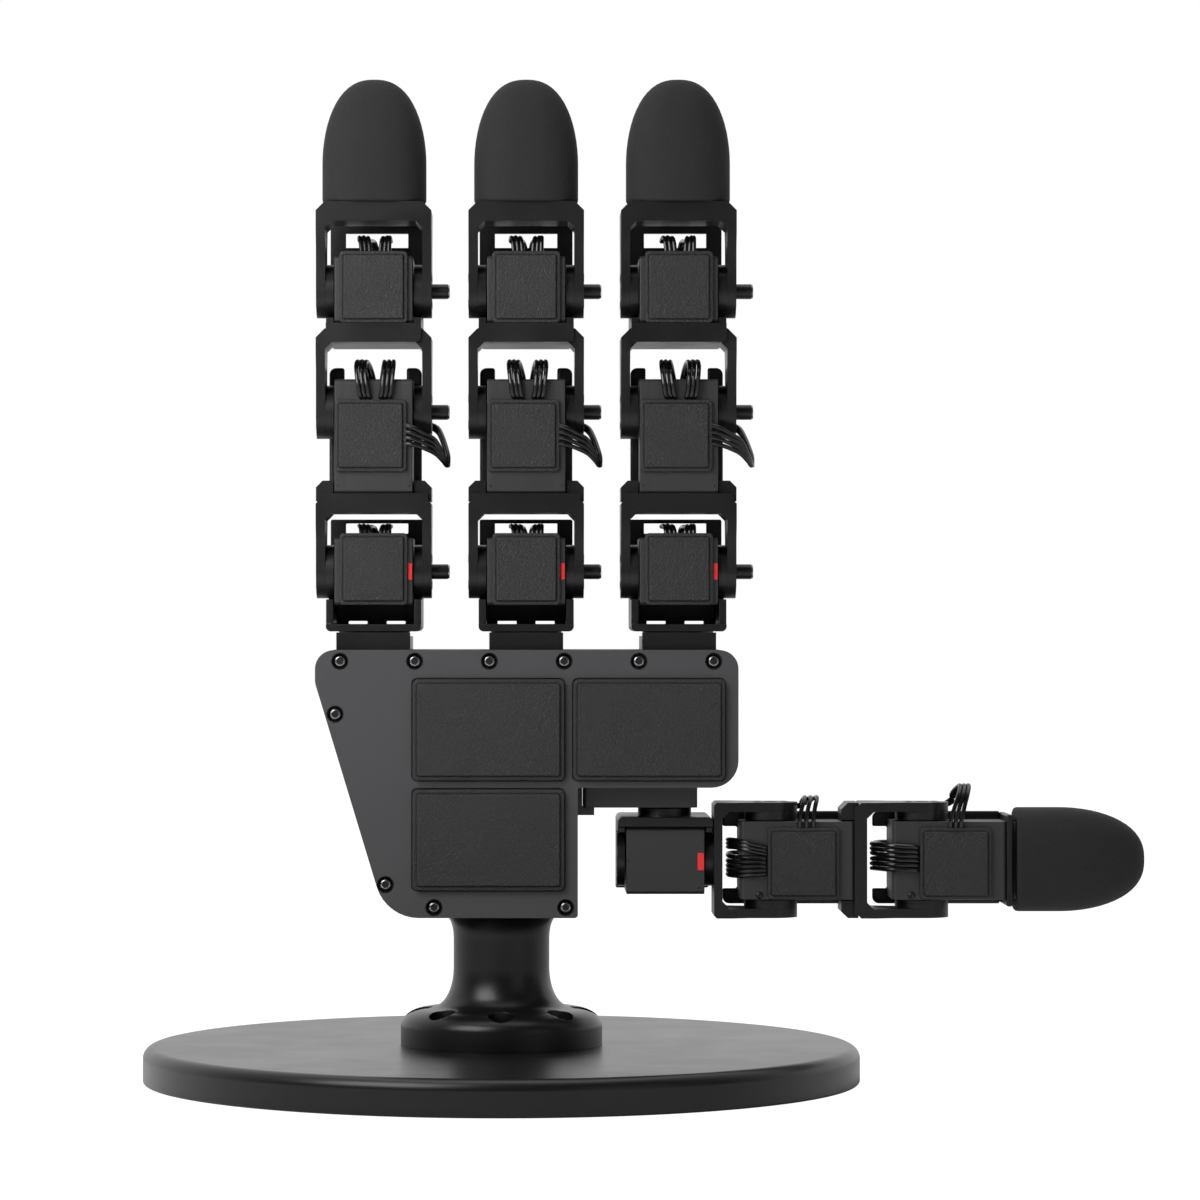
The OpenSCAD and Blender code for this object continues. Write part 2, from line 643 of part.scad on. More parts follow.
// A sheet cage round a servo: floor below, side walls and a rear wall with a window for the leads
module cage(floor_z, floor_t, rear_top, window_z, window_h) {
    side_top = -horn_d / 2 - gap;
    difference() {
        intersection() {
            slab(-cage_front - 1, cage_back + 1) polygon(rounded([
                [-cage_out, floor_z, 1.5], [cage_out, floor_z, 1.5],
                [cage_out, rear_top, 0.6], [-cage_out, rear_top, 0.6]]));
            union() {
                span([-cage_out, -cage_front, floor_z], [cage_out, cage_back, floor_z + floor_t]);
                for (m = [0, 1]) mirror([m, 0, 0]) {
                    span([cage_in, -cage_front + 2, floor_z], [cage_out, cage_back, side_top]);
                    span([cage_in, horn_d / 2 + 1, floor_z], [cage_out, cage_back, 0]);
                }
                span([-cage_out, servo_back + seam, floor_z], [cage_out, cage_back, rear_top]);
            }
        }
        span([-9.5, servo_back - 1, window_z], [9.5, cage_back + 1, window_z + window_h]);
    }
    // Lead clip on the back
    span([-clip_w / 2, cage_back - nozero, 0], [clip_w / 2, cage_back + clip_d, clip_h]);
}

module cradle() {
    floor_z = cage_floor_z - knuckle_z;
    color(black) {
        difference() {
            cage(floor_z, cage_t, cage_rear_up, cage_rear_up - 4.3, 3.1);
            for (x = [-foot_slot_w - 2.9, 2.9])
                span([x, servo_back - 1, floor_z + cage_t],
                     [x + foot_slot_w, cage_back + 1, floor_z + cage_t + foot_slot_h]);
        }
        translate([0, 0, turntable_z - knuckle_z]) cylinder(d = turntable_d, h = turntable_t + nozero);
        translate([0, 0, turret_h - pin_depth - knuckle_z]) cylinder(d = pin_d, h = pin_depth + gap + nozero);
    }
}

module knuckle_servo() {
    color(case_grey) servo_case();
}

module knuckle_pad() {
    color(pad_grey) translate([0, -servo_end, 0]) grip_pad(grip_up, grip_w - end_grip_inset);
}

module knuckle_leads() {
    color(lead_black) end_leads(over_route);
}

// The same route on both sides of a servo's middle
module end_leads(route) {
    for (s = [-1, 1]) translate([s * lead_x, 0, 0]) tube(route, lead_r);
}

module knuckle_fork() {
    fork(knuckle_reach, knuckle_bar_t, true, small_chamfer) tray(knuckle_reach + knuckle_bar_t, knuckle_tray_t);
}

// The bending servo stands on its far end, its near end up, with a frame behind it
module bend_servo() {
    color(case_grey) rotate([-90, 0, 0]) servo_case();
    color(black) bend_frame();
}

module bend_frame() {
    y0 = servo_h / 2 + seam;
    w = cage_out - 0.2;
    top = servo_end + prong_l;
    difference() {
        slab(y0, y0 + frame_t - seam) polygon(rounded([
            [-w, -servo_back, 0], [w, -servo_back, 0], [w, top, prong_r], [-w, top, prong_r]]));
        span([-w + prong_w, y0 - 1, servo_end], [w - prong_w, y0 + frame_t + 1, top + 1]);
        span([-6, y0 - 1, -16], [6, y0 + frame_t + 1, -8]);
    }
    span([-clip_w / 2, y0 + frame_t - seam - nozero, -4], [clip_w / 2, y0 + frame_t + clip_d, 1]);
}

module bend_pad(z = bend_grip_up) {
    color(pad_grey) translate([-grip_shift, -servo_h / 2, 0]) grip_pad(z);
}

module bend_leads(end = end_route, side = side_route) {
    color(lead_black) {
        end_leads(end);
        tube(side, lead_r);
    }
}

module middle_fork() {
    fork(finger_reach, middle_bar_t, true)
        translate([0, 0, bend_to_tip]) cage(finger_reach - bend_to_tip,
            bend_to_tip - servo_h / 2 - finger_reach - seam, tip_rear_up, tip_rear_up - 7.3, 4.4);
}

module tip_servo() {
    knuckle_servo();
}

module tip_pad() {
    color(pad_grey) translate([0, -servo_end, 0]) grip_pad(grip_up, grip_w - end_grip_inset);
}

module tip_leads() {
    color(lead_black) end_leads(tip_route);
}

module tip_fork() {
    fork(finger_reach, tip_bar_t, true);
}

// A fingertip of length l standing on the origin
module tip_form(l) {
    sides = 32;
    straight = l - fingertip_round;
    function ring(z, k) = [for (i = [0:sides - 1])
        let (a = 360 * i / sides, c = cos(a), s = sin(a))
        [fingertip_w / 2 * k * sign(c) * pow(abs(c), 0.8), fingertip_d / 2 * k * sign(s) * pow(abs(s), 0.8), z]];
    levels = concat([[0, 0.97], [1, 1]],
        [for (a = [0:10:80]) [straight + (l - straight) * sin(a), pow(cos(a), 0.82)]]);
    n = len(levels);
    points = concat([for (v = levels) each ring(v[0], v[1])], [[0, 0, l]]);
    faces = concat(
        [[for (k = [0:sides - 1]) k]],
        [for (j = [0:n - 2]) for (k = [0:sides - 1])
         let (k1 = (k + 1) % sides, a = j * sides, b = a + sides) [a + k, b + k, b + k1, a + k1]],
        [for (k = [0:sides - 1]) [(n - 1) * sides + k, n * sides, (n - 1) * sides + (k + 1) % sides]]);
    polyhedron(points, faces, convexity = 4);
}

module fingertip() {
    color(pad_grey) translate([0, 0, finger_reach + tip_bar_t + seam]) tip_form(fingertip_l);
}

// ---- Thumb ----

// Lays a link that stands on +Z down, so that it points along -X
module lay() {
    rotate([0, -90, 0]) children();
}

module thumb_cradle() {
    top = block_z - yaw_servo_proud - gap - roll_z;
    floor_z = servo_h / 2 + seam;
    color(black) {
        mirror([0, 0, 1]) cage(-(top - hub_t), top - hub_t - floor_z, servo_h / 2, -3, 3);
        translate([0, 0, top - hub_t - nozero]) cylinder(d = horn_d, h = hub_t + nozero);
        translate([0, 0, top - nozero]) cylinder(d = pin_d, h = gap + pin_depth);
    }
}

module thumb_roll_servo() {
    color(case_grey) servo_case();
    color(black) horn();
}

module thumb_roll_fork() {
    color(black) {
        axis_rod(hub_in, hub_in + hub_t, horn_d);
        axis_rod(body_half - pin_depth, hub_in + nozero, pin_d);
    }
    translate([thumb_bend_x - thumb_x, 0, 0]) lay() fork(roll_reach, thumb_bar_t, false, small_chamfer);
}

module thumb_bend_servo() {
    lay() bend_servo();
}

module thumb_bend_pad() {
    lay() bend_pad(thumb_grip_up);
}

module thumb_bend_leads() {
    lay() {
        bend_leads(thumb_end_route, thumb_low_route);
        color(lead_black) end_leads(thumb_front_route);
    }
}

module thumb_bend_fork() {
    lay() fork(thumb_reach, thumb_bar_t, false, small_chamfer) tray(thumb_reach + thumb_bar_t, thumb_tray_t);
}

module thumb_tip_servo() {
    lay() {
        bend_servo();
        color(black) {
            slab(-servo_h / 2, servo_h / 2 + frame_t)
                polygon([for (p = plate_outline(2 * cage_out - 1, tip_mount_t, 0.6))
                    p - [0, servo_back + tip_mount_t / 2 + seam]]);
            span([-11.4, -servo_h / 2 + 1, -servo_back - tip_mount_t - tip_neck_l - seam],
                 [11.4, servo_h / 2 - 1, -servo_back - tip_mount_t]);
        }
    }
}

module thumb_tip_pad() {
    thumb_bend_pad();
}

module thumb_tip_leads() {
    lay() bend_leads(thumb_tip_route, thumb_side_route);
}

module thumb_fingertip() {
    color(pad_grey) translate([servo_back + tip_mount_t + tip_neck_l + 2 * seam, 0, 0])
        rotate([0, 90, 0]) tip_form(thumb_tip_l - 1);
}

// ---- The object ----

base_plate();
stand_column();
palm_shell();
palm_cover();
palm_pads();
palm_drives();
fasteners();

for (i = [0:2]) {
    f = FINGERS[i];
    translate([finger_x[i], 0, palm_top + knuckle_z]) {
        cradle();
        knuckle_servo();
        knuckle_pad();
        knuckle_leads();
        knuckle_fork();
    }
    translate([finger_x[i], 0, palm_top + bend_z]) {
        bend_servo();
        bend_pad();
        bend_leads();
        middle_fork();
    }
    translate([finger_x[i], 0, palm_top + tip_z]) {
        tip_servo();
        tip_pad();
        tip_leads();
        tip_fork();
        fingertip();
    }
}

translate([thumb_x, 0, roll_z]) {
    thumb_cradle();
    thumb_roll_servo();
    thumb_roll_fork();
}
translate([thumb_bend_x, 0, roll_z]) {
    thumb_bend_servo();
    thumb_bend_pad();
    thumb_bend_leads();
}
translate([thumb_tip_x, 0, roll_z]) {
    thumb_bend_fork();
    thumb_tip_servo();
    thumb_tip_pad();
    thumb_tip_leads();
    thumb_fingertip();
}
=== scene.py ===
"""Looks of a dexterous robot hand on a round display stand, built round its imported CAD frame."""

from __future__ import annotations

import json
import logging
import math
from dataclasses import dataclass
from enum import Enum
from typing import Iterable, Sequence

import bmesh
import bpy
from mathutils import Matrix, Vector

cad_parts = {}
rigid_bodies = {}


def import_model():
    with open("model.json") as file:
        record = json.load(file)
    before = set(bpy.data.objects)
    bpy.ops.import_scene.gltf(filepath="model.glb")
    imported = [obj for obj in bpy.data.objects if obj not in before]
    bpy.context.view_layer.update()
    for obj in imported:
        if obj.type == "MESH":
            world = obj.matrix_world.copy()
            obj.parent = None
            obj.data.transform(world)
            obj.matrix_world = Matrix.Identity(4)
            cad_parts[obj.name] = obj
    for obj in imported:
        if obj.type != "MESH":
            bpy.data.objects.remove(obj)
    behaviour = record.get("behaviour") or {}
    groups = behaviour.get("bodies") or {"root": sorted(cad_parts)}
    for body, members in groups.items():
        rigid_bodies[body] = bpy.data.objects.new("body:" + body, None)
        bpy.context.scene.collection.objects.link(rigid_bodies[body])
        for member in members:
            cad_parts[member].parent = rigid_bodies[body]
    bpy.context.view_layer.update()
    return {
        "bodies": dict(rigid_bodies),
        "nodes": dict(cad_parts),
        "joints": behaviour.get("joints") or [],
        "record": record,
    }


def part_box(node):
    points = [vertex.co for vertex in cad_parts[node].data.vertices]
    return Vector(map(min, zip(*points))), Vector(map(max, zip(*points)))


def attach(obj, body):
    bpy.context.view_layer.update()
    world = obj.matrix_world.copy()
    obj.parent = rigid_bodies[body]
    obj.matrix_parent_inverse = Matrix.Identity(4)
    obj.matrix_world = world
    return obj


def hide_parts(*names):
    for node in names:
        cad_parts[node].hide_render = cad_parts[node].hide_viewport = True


LOG = logging.getLogger("robot_hand")
MM = 0.001
FINGERS = ("ring", "middle", "index")
Point = Sequence[float]
FRAME: dict = {}


# ---- Colour and node helpers -------------------------------------------------------------------


def linear(hex_colour: str) -> tuple[float, float, float, float]:
    """Turns an sRGB hex colour into linear RGBA.

    Args:
        hex_colour: Six hex digits, such as "2a2a2b".

    Returns:
        Linear red, green, blue and an alpha of 1.
    """
    def channel(value: float) -> float:
        """One sRGB channel as linear light."""
        return value / 12.92 if value <= 0.04045 else ((value + 0.055) / 1.055) ** 2.4

    red, green, blue = (channel(int(hex_colour[i:i + 2], 16) / 255) for i in (0, 2, 4))
    return red, green, blue, 1.0


def add_node(tree: bpy.types.NodeTree, kind: str, inputs: dict | None = None, **settings) -> bpy.types.Node:
    """Adds a node with its settings, socket values and links.

    Args:
        tree: The tree that gets the node.
        kind: The node's type name.
        inputs: Socket name or index to a value, or to the output socket that feeds it.
        settings: Attributes of the node.

    Returns:
        The new node.
    """
    node = tree.nodes.new(kind)
    for name, value in settings.items():
        setattr(node, name, value)
    for key, value in (inputs or {}).items():
        if isinstance(value, bpy.types.NodeSocket):
            tree.links.new(value, node.inputs[key])
        else:
            node.inputs[key].default_value = value
    return node


# ---- Finishes ----------------------------------------------------------------------------------


@dataclass(frozen=True)
class Finish:
    """A surface: its colour, how it shines, and the fine relief that its making leaves."""

    name: str
    colour: str
    varied: str
    roughness: float
    metallic: float = 0.0
    ior: float = 1.5
    grain_mm: float = 0.5
    grain_height_mm: float = 0.01
    patch_mm: float = 18.0
    rough_swing: float = 0.06

    def relief(self, tree: bpy.types.NodeTree, place: bpy.types.NodeSocket) -> bpy.types.NodeSocket:
        """The fine relief as a height from 0 to 1: an even spray or mould grain."""
        grain = add_node(tree, "ShaderNodeTexNoise", {"Vector": place, "Scale": 1 / (self.grain_mm * MM),
                                                      "Detail": 3.0, "Roughness": 0.6})
        return grain.outputs["Fac"]

    def build(self) -> bpy.types.Material:
        """Makes the material.

        Returns:
            The node material, with colour and roughness that vary a little over the piece.
        """
        material = bpy.data.materials.new(self.name)
        material.use_nodes = True
        tree = material.node_tree
        shader = tree.nodes["Principled BSDF"]
        shader.inputs["Metallic"].default_value = self.metallic
        shader.inputs["IOR"].default_value = self.ior
        place = add_node(tree, "ShaderNodeTexCoord").outputs["Object"]
        patch = add_node(tree, "ShaderNodeTexNoise",
                         {"Vector": place, "Scale": 1 / (self.patch_mm * MM), "Detail": 4.0}).outputs["Fac"]
        height = self.relief(tree, place)
        blend = add_node(tree, "ShaderNodeMath", {0: patch, 1: height}, operation="ADD").outputs[0]
        spread = add_node(tree, "ShaderNodeMapRange",
                          {"Value": blend, "From Min": 0.6, "From Max": 1.4}).outputs["Result"]
        colour = add_node(tree, "ShaderNodeMix",
                          {0: spread, 6: linear(self.colour), 7: linear(self.varied)}, data_type="RGBA")
        tree.links.new(colour.outputs[2], shader.inputs["Base Color"])
        rough = add_node(tree, "ShaderNodeMapRange",
                         {"Value": patch, "From Min": 0.3, "From Max": 0.7,
                          "To Min": self.roughness - self.rough_swing,
                          "To Max": self.roughness + self.rough_swing}).outputs["Result"]
        tree.links.new(rough, shader.inputs["Roughness"])
        bump = add_node(tree, "ShaderNodeBump", {"Height": height, "Distance": self.grain_height_mm * MM,
                                                 "Strength": 1.0})
        tree.links.new(bump.outputs["Normal"], shader.inputs["Normal"])
        return material


@dataclass(frozen=True)
class Leather(Finish):
    """A moulded skin with the cells and creases of leather."""

    cell_mm: float = 1.2

    def relief(self, tree: bpy.types.NodeTree, place: bpy.types.NodeSocket) -> bpy.types.NodeSocket:
        """Creases between rounded cells, with long soft wrinkles across them."""
        warp = add_node(tree, "ShaderNodeTexNoise", {"Vector": place, "Scale": 1 / (4 * self.cell_mm * MM),
                                                     "Detail": 2.0})
        moved = add_node(tree, "ShaderNodeMix", {0: 0.001, 4: place, 5: warp.outputs["Color"]},
                         data_type="VECTOR")
        cells = add_node(tree, "ShaderNodeTexVoronoi",
                         {"Vector": moved.outputs[1], "Scale": 1 / (self.cell_mm * MM)},
                         feature="DISTANCE_TO_EDGE")
        crease = add_node(tree, "ShaderNodeMapRange", {"Value": cells.outputs["Distance"],
                                                       "From Min": 0.0, "From Max": 0.12})
        wrinkle = add_node(tree, "ShaderNodeTexNoise",
                           {"Vector": place, "Scale": 1 / (7 * self.cell_mm * MM), "Detail": 6.0,
                            "Roughness": 0.7})
        return add_node(tree, "ShaderNodeMath", {0: crease.outputs["Result"], 1: wrinkle.outputs["Fac"]},
                        operation="MULTIPLY").outputs[0]


class Surface(Enum):
    """Every finish on the hand."""

    # Powder-coated steel: even, satin, with a faint orange-peel grain that spreads highlights
    STAND = Finish("powder_coated_steel", "0d0d0e", "101011", 0.32, ior=1.38, grain_mm=0.9,
                   grain_height_mm=0.012, rough_swing=0.02)
    # Painted aluminium plate: dead matte, fine spray grain
    PLATE = Finish("painted_plate", "3b3b3d", "3f3f41", 0.60, grain_mm=0.35, grain_height_mm=0.010)
    # Moulded rubber skin with a leather grain: soft, low sheen
    PAD = Leather("leather_grained_skin", "1e1e1e", "232323", 0.60, grain_height_mm=0.17)
    # Spark-textured moulded case of the servos
    CASE = Finish("textured_case", "272729", "2b2b2d", 0.50, grain_mm=0.3, grain_height_mm=0.012)
    # Black anodised aluminium frames: satin, with bright edges
    FRAME = Finish("anodised_frame", "0b0b0c", "0f0f10", 0.38, ior=1.42, grain_mm=0.25, grain_height_mm=0.006)
    # Cast silicone rubber: no gloss, powdery speckle
    RUBBER = Finish("cast_rubber", "1a1a1a", "262626", 0.85, ior=1.42, grain_mm=0.7, grain_height_mm=0.04,
                    patch_mm=9.0)
    # PVC insulation: glossy black
    LEAD = Finish("wire_insulation", "080809", "0c0c0d", 0.24, grain_mm=1.5, grain_height_mm=0.004)
    # Stainless screws: turned, bright
    STEEL = Finish("screw_steel", "8c8c90", "7a7a7e", 0.25, metallic=1.0, grain_mm=0.2,
                   grain_height_mm=0.002)
    # Zinc-black socket screws, pins and horn discs
    DARK_STEEL = Finish("black_oxide_steel", "232325", "2b2b2d", 0.35, metallic=0.6, grain_mm=0.3,
                        grain_height_mm=0.004)
    # Red moulded lens
    RED = Finish("red_marker", "f03232", "e22a2a", 0.40, grain_mm=1.0, grain_height_mm=0.003)
    # Depth of a hole or recess: unlit black
    HOLLOW = Finish("shadowed_recess", "050505", "070707", 0.8)
    # Circuit board lacquer
    BOARD = Finish("green_solder_mask", "1d4a2c", "24563a", 0.35)


_BUILT: dict[Surface, bpy.types.Material] = {}


def finish(surface: Surface) -> bpy.types.Material:
    """The material of a surface, built once."""
    if surface not in _BUILT:
        _BUILT[surface] = surface.value.build()
    return _BUILT[surface]


# ---- Mesh helpers ------------------------------------------------------------------------------


def new_piece(name: str, mesh: bpy.types.Mesh, surface: Surface, body: str,
              replaces: Iterable[str] = (), sharp_deg: float = 35.0) -> bpy.types.Object:
    """Puts a finished mesh into the scene as a piece of the hand.

    Args:
        name: The piece's name.
        mesh: Its mesh, already in place.
        surface: Its finish, unless the mesh already has materials.
        body: The body that it rides on.
        replaces: CAD nodes that it stands for.
        sharp_deg: Edges with a larger angle stay sharp.

    Returns:
        The new object.
    """
    if not mesh.materials:
        mesh.materials.append(finish(surface))
    for polygon in mesh.polygons:
        polygon.use_smooth = True
    mesh.set_sharp_from_angle(angle=math.radians(sharp_deg))
    piece = bpy.data.objects.new(name, mesh)
    bpy.context.scene.collection.objects.link(piece)
    piece.data = evaluated(piece, piece.modifiers.new("normals", "WEIGHTED_NORMAL"), keep_sharp=True)
    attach(piece, body)
    nodes = tuple(replaces)
    if nodes:
        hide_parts(*nodes)
    LOG.info("%s: %d faces on %s", name, len(mesh.polygons), body)
    return piece


def evaluated(item: bpy.types.Object, modifier: bpy.types.Modifier, **settings) -> bpy.types.Mesh:
    """The plain mesh that a modifier makes; the modifier is taken off again.

    Args:
        item: The object that carries the modifier.
        modifier: The modifier.
        settings: Attributes of the modifier.

    Returns:
        The new mesh.
    """
    for key, value in settings.items():
        setattr(modifier, key, value)
    bpy.context.view_layer.update()
    graph = bpy.context.evaluated_depsgraph_get()
    mesh = bpy.data.meshes.new_from_object(item.evaluated_get(graph), depsgraph=graph)
    mesh.name = item.name
    item.modifiers.remove(modifier)
    return mesh


def to_mesh(name: str, bm: bmesh.types.BMesh, place: Matrix | None = None) -> bpy.types.Mesh:
    """Turns a bmesh into a mesh with outward faces and frees it."""
    if place is not None:
        bm.transform(place)
    bmesh.ops.remove_doubles(bm, verts=bm.verts, dist=1e-7)
    bmesh.ops.recalc_face_normals(bm, faces=bm.faces)
    mesh = bpy.data.meshes.new(name)
    bm.to_mesh(mesh)
    bm.free()
    return mesh


def joined(name: str, parts: Sequence[bpy.types.Mesh]) -> bpy.types.Mesh:
    """One mesh that holds all the parts, each with its own material."""
    bm = bmesh.new()
    materials: list[bpy.types.Material] = []
    for part in parts:
        for material in part.materials:
            if material not in materials:
                materials.append(material)
        start = len(bm.faces)
        bm.from_mesh(part)
        bm.faces.ensure_lookup_table()
        for face in bm.faces[start:]:
            if part.materials:
                face.material_index = materials.index(part.materials[face.material_index])
    mesh = bpy.data.meshes.new(name)
    bm.to_mesh(mesh)
    bm.free()
    for material in materials:
        mesh.materials.append(material)
    return mesh


def painted(mesh: bpy.types.Mesh, surface: Surface) -> bpy.types.Mesh:
    """The mesh with a finish."""
    mesh.materials.append(finish(surface))
    return mesh


def loft(name: str, rings: Sequence[Sequence[Point]], place: Matrix | None = None,
         closed: bool = False) -> bpy.types.Mesh:
    """A skin through rings of as many points each, capped at both ends.

    Args:
        name: The mesh's name.
        rings: The rings, in metres.
        place: Where the shape goes.
        closed: True if the last ring joins the first.

    Returns:
        The mesh.
    """
    bm = bmesh.new()
    rows = [[bm.verts.new(point) for point in ring] for ring in rings]
    count = len(rows[0])
    pairs = list(zip(rows, rows[1:] + ([rows[0]] if closed else [])))
    for low, high in pairs[:len(rows) if closed else len(rows) - 1]:
        for i in range(count):
            j = (i + 1) % count
            bm.faces.new((low[i], low[j], high[j], high[i]))
    if not closed:
        bm.faces.new(list(reversed(rows[0])))
        bm.faces.new(rows[-1])
    return to_mesh(name, bm, place)


def circle(radius: float, height: float, count: int = 24) -> list[tuple[float, float, float]]:
    """Points on a level circle, sizes in millimetres and points in metres."""
    return [(radius * MM * math.cos(2 * math.pi * i / count), radius * MM * math.sin(2 * math.pi * i / count),
             height * MM) for i in range(count)]


def lathe(name: str, profile: Sequence[tuple[float, float]], segments: int = 96,
          place: Matrix | None = None) -> bpy.types.Mesh:
    """A solid of revolution about Z.

    Args:
        name: The mesh's name.
        profile: Radius and height of each ring in millimetres, a zero radius at each end.
        segments: Steps round the axis.
        place: Where the shape goes.

    Returns:
        The mesh.
    """
    return loft(name, [circle(max(radius, 0.001), height, segments) for radius, height in profile], place)


def arc(centre: tuple[float, float], radius: float, start: float, end: float,
        steps: int = 8) -> list[tuple[float, float]]:
    """Points on an arc, angles in degrees."""
    return [(centre[0] + radius * math.cos(math.radians(start + (end - start) * i / steps)),
             centre[1] + radius * math.sin(math.radians(start + (end - start) * i / steps)))
            for i in range(steps + 1)]


def rounded_rectangle(width: float, height: float, radius: float,
                      steps: int = 5) -> list[tuple[float, float]]:
    """Corner points of a rectangle with round corners, counter-clockwise."""
    radius = min(radius, width / 2 - 0.01, height / 2 - 0.01)
    points: list[tuple[float, float]] = []
    for turn, (sx, sy) in enumerate(((1, 1), (-1, 1), (-1, -1), (1, -1))):
        centre = (sx * (width / 2 - radius), sy * (height / 2 - radius))
        points += arc(centre, radius, 90 * turn, 90 * turn + 90, steps)
    return points


def smooth_route(points: Sequence[Point], step: int = 6) -> list[Vector]:
    """A Catmull-Rom curve through the points, step samples between each two."""
    path = [Vector(p) for p in points]
    ends = [2 * path[0] - path[1]] + path + [2 * path[-1] - path[-2]]
    curve = []
    for a, b, c, d in zip(ends, ends[1:], ends[2:], ends[3:]):
        for i in range(step):
            t = i / step
            curve.append(0.5 * (2 * b + (c - a) * t + (2 * a - 5 * b + 4 * c - d) * t ** 2
                                + (3 * b - a - 3 * c + d) * t ** 3))
    return curve + [path[-1]]


def tube(name: str, route: Sequence[Vector], radius: float, sides: int = 12) -> bpy.types.Mesh:
    """A round tube along a route, in metres, its rings carried along without twist."""
    rings = []
    side = None
    for i, point in enumerate(route):
        ahead = (route[min(i + 1, len(route) - 1)] - route[max(i - 1, 0)]).normalized()
        if side is None:
            side = ahead.orthogonal().normalized()
        side = (side - ahead * side.dot(ahead)).normalized()
        other = ahead.cross(side)
        rings.append([point + radius * (math.cos(a) * side + math.sin(a) * other)
                      for a in (2 * math.pi * k / sides for k in range(sides))])
    return loft(name, rings)


# ---- What repeats ------------------------------------------------------------------------------


class Repeater:
    """Geometry Nodes that set a template on every point, all facing one way."""

    def __init__(self) -> None:
        """Builds the node group."""
        tree = bpy.data.node_groups.new("set_in_rows", "GeometryNodeTree")
        face = tree.interface
        face.new_socket("Geometry", in_out="INPUT", socket_type="NodeSocketGeometry")
        self.sockets = {}
        for name, kind in (("Template", "NodeSocketObject"), ("Direction", "NodeSocketVector"),
                           ("Size", "NodeSocketFloat"), ("Spin", "NodeSocketFloat"),
                           ("Finish", "NodeSocketMaterial")):
            self.sockets[name] = face.new_socket(name, in_out="INPUT", socket_type=kind).identifier
        face.new_socket("Geometry", in_out="OUTPUT", socket_type="NodeSocketGeometry")
        inputs = add_node(tree, "NodeGroupInput").outputs
        template = add_node(tree, "GeometryNodeObjectInfo", {"Object": inputs["Template"]})
        facing = add_node(tree, "FunctionNodeAlignRotationToVector", {"Vector": inputs["Direction"]},
                          axis="Z")
        turn = add_node(tree, "FunctionNodeRandomValue", {"Seed": 7}, data_type="FLOAT")
        tree.links.new(inputs["Spin"], turn.inputs[3])
        spin = add_node(tree, "FunctionNodeAxisAngleToRotation",
                        {"Axis": (0, 0, 1), "Angle": turn.outputs[1]})
        rotation = add_node(tree, "FunctionNodeRotateRotation",
                            {0: facing.outputs[0], 1: spin.outputs[0]}, rotation_space="LOCAL")
        points = add_node(tree, "GeometryNodeMeshToPoints", {"Mesh": inputs["Geometry"]})
        rows = add_node(tree, "GeometryNodeInstanceOnPoints",
                        {"Points": points.outputs[0], "Instance": template.outputs["Geometry"],
                         "Rotation": rotation.outputs[0], "Scale": inputs["Size"]})
        real = add_node(tree, "GeometryNodeRealizeInstances", {"Geometry": rows.outputs[0]})
        dressed = add_node(tree, "GeometryNodeSetMaterial",
                           {"Geometry": real.outputs[0], "Material": inputs["Finish"]})
        add_node(tree, "NodeGroupOutput", {"Geometry": dressed.outputs[0]})
        self.tree = tree

    def rows(self, name: str, template: bpy.types.Mesh, points: Sequence[Point], direction: Point,
             surface: Surface, size: float = 1.0, spin: float = 0.0) -> bpy.types.Mesh:
        """Sets the template on every point.

        Args:
            name: The mesh's name.
            template: What is repeated, its axis along Z.
            points: Where, in metres.
            direction: Where the template's Z points.
            surface: The finish.
            size: Scale of the template.
            spin: Largest random turn about its own axis, in radians.

        Returns:
            One plain mesh.
        """
        stamp = bpy.data.objects.new("template", template)
        seat = bpy.data.meshes.new("seats")
        seat.from_pydata([tuple(p) for p in points], [], [])
        carrier = bpy.data.objects.new(name, seat)
        for item in (stamp, carrier):
            bpy.context.scene.collection.objects.link(item)
        modifier = carrier.modifiers.new("rows", "NODES")
        modifier.node_group = self.tree
        for key, value in (("Template", stamp), ("Direction", tuple(direction)), ("Size", size),
                           ("Spin", spin), ("Finish", finish(surface))):
            modifier[self.sockets[key]] = value
        mesh = evaluated(carrier, modifier)
        for item in (stamp, carrier):
            bpy.data.objects.remove(item)
        return mesh


# ---- Camera, light and floor -------------------------------------------------------------------


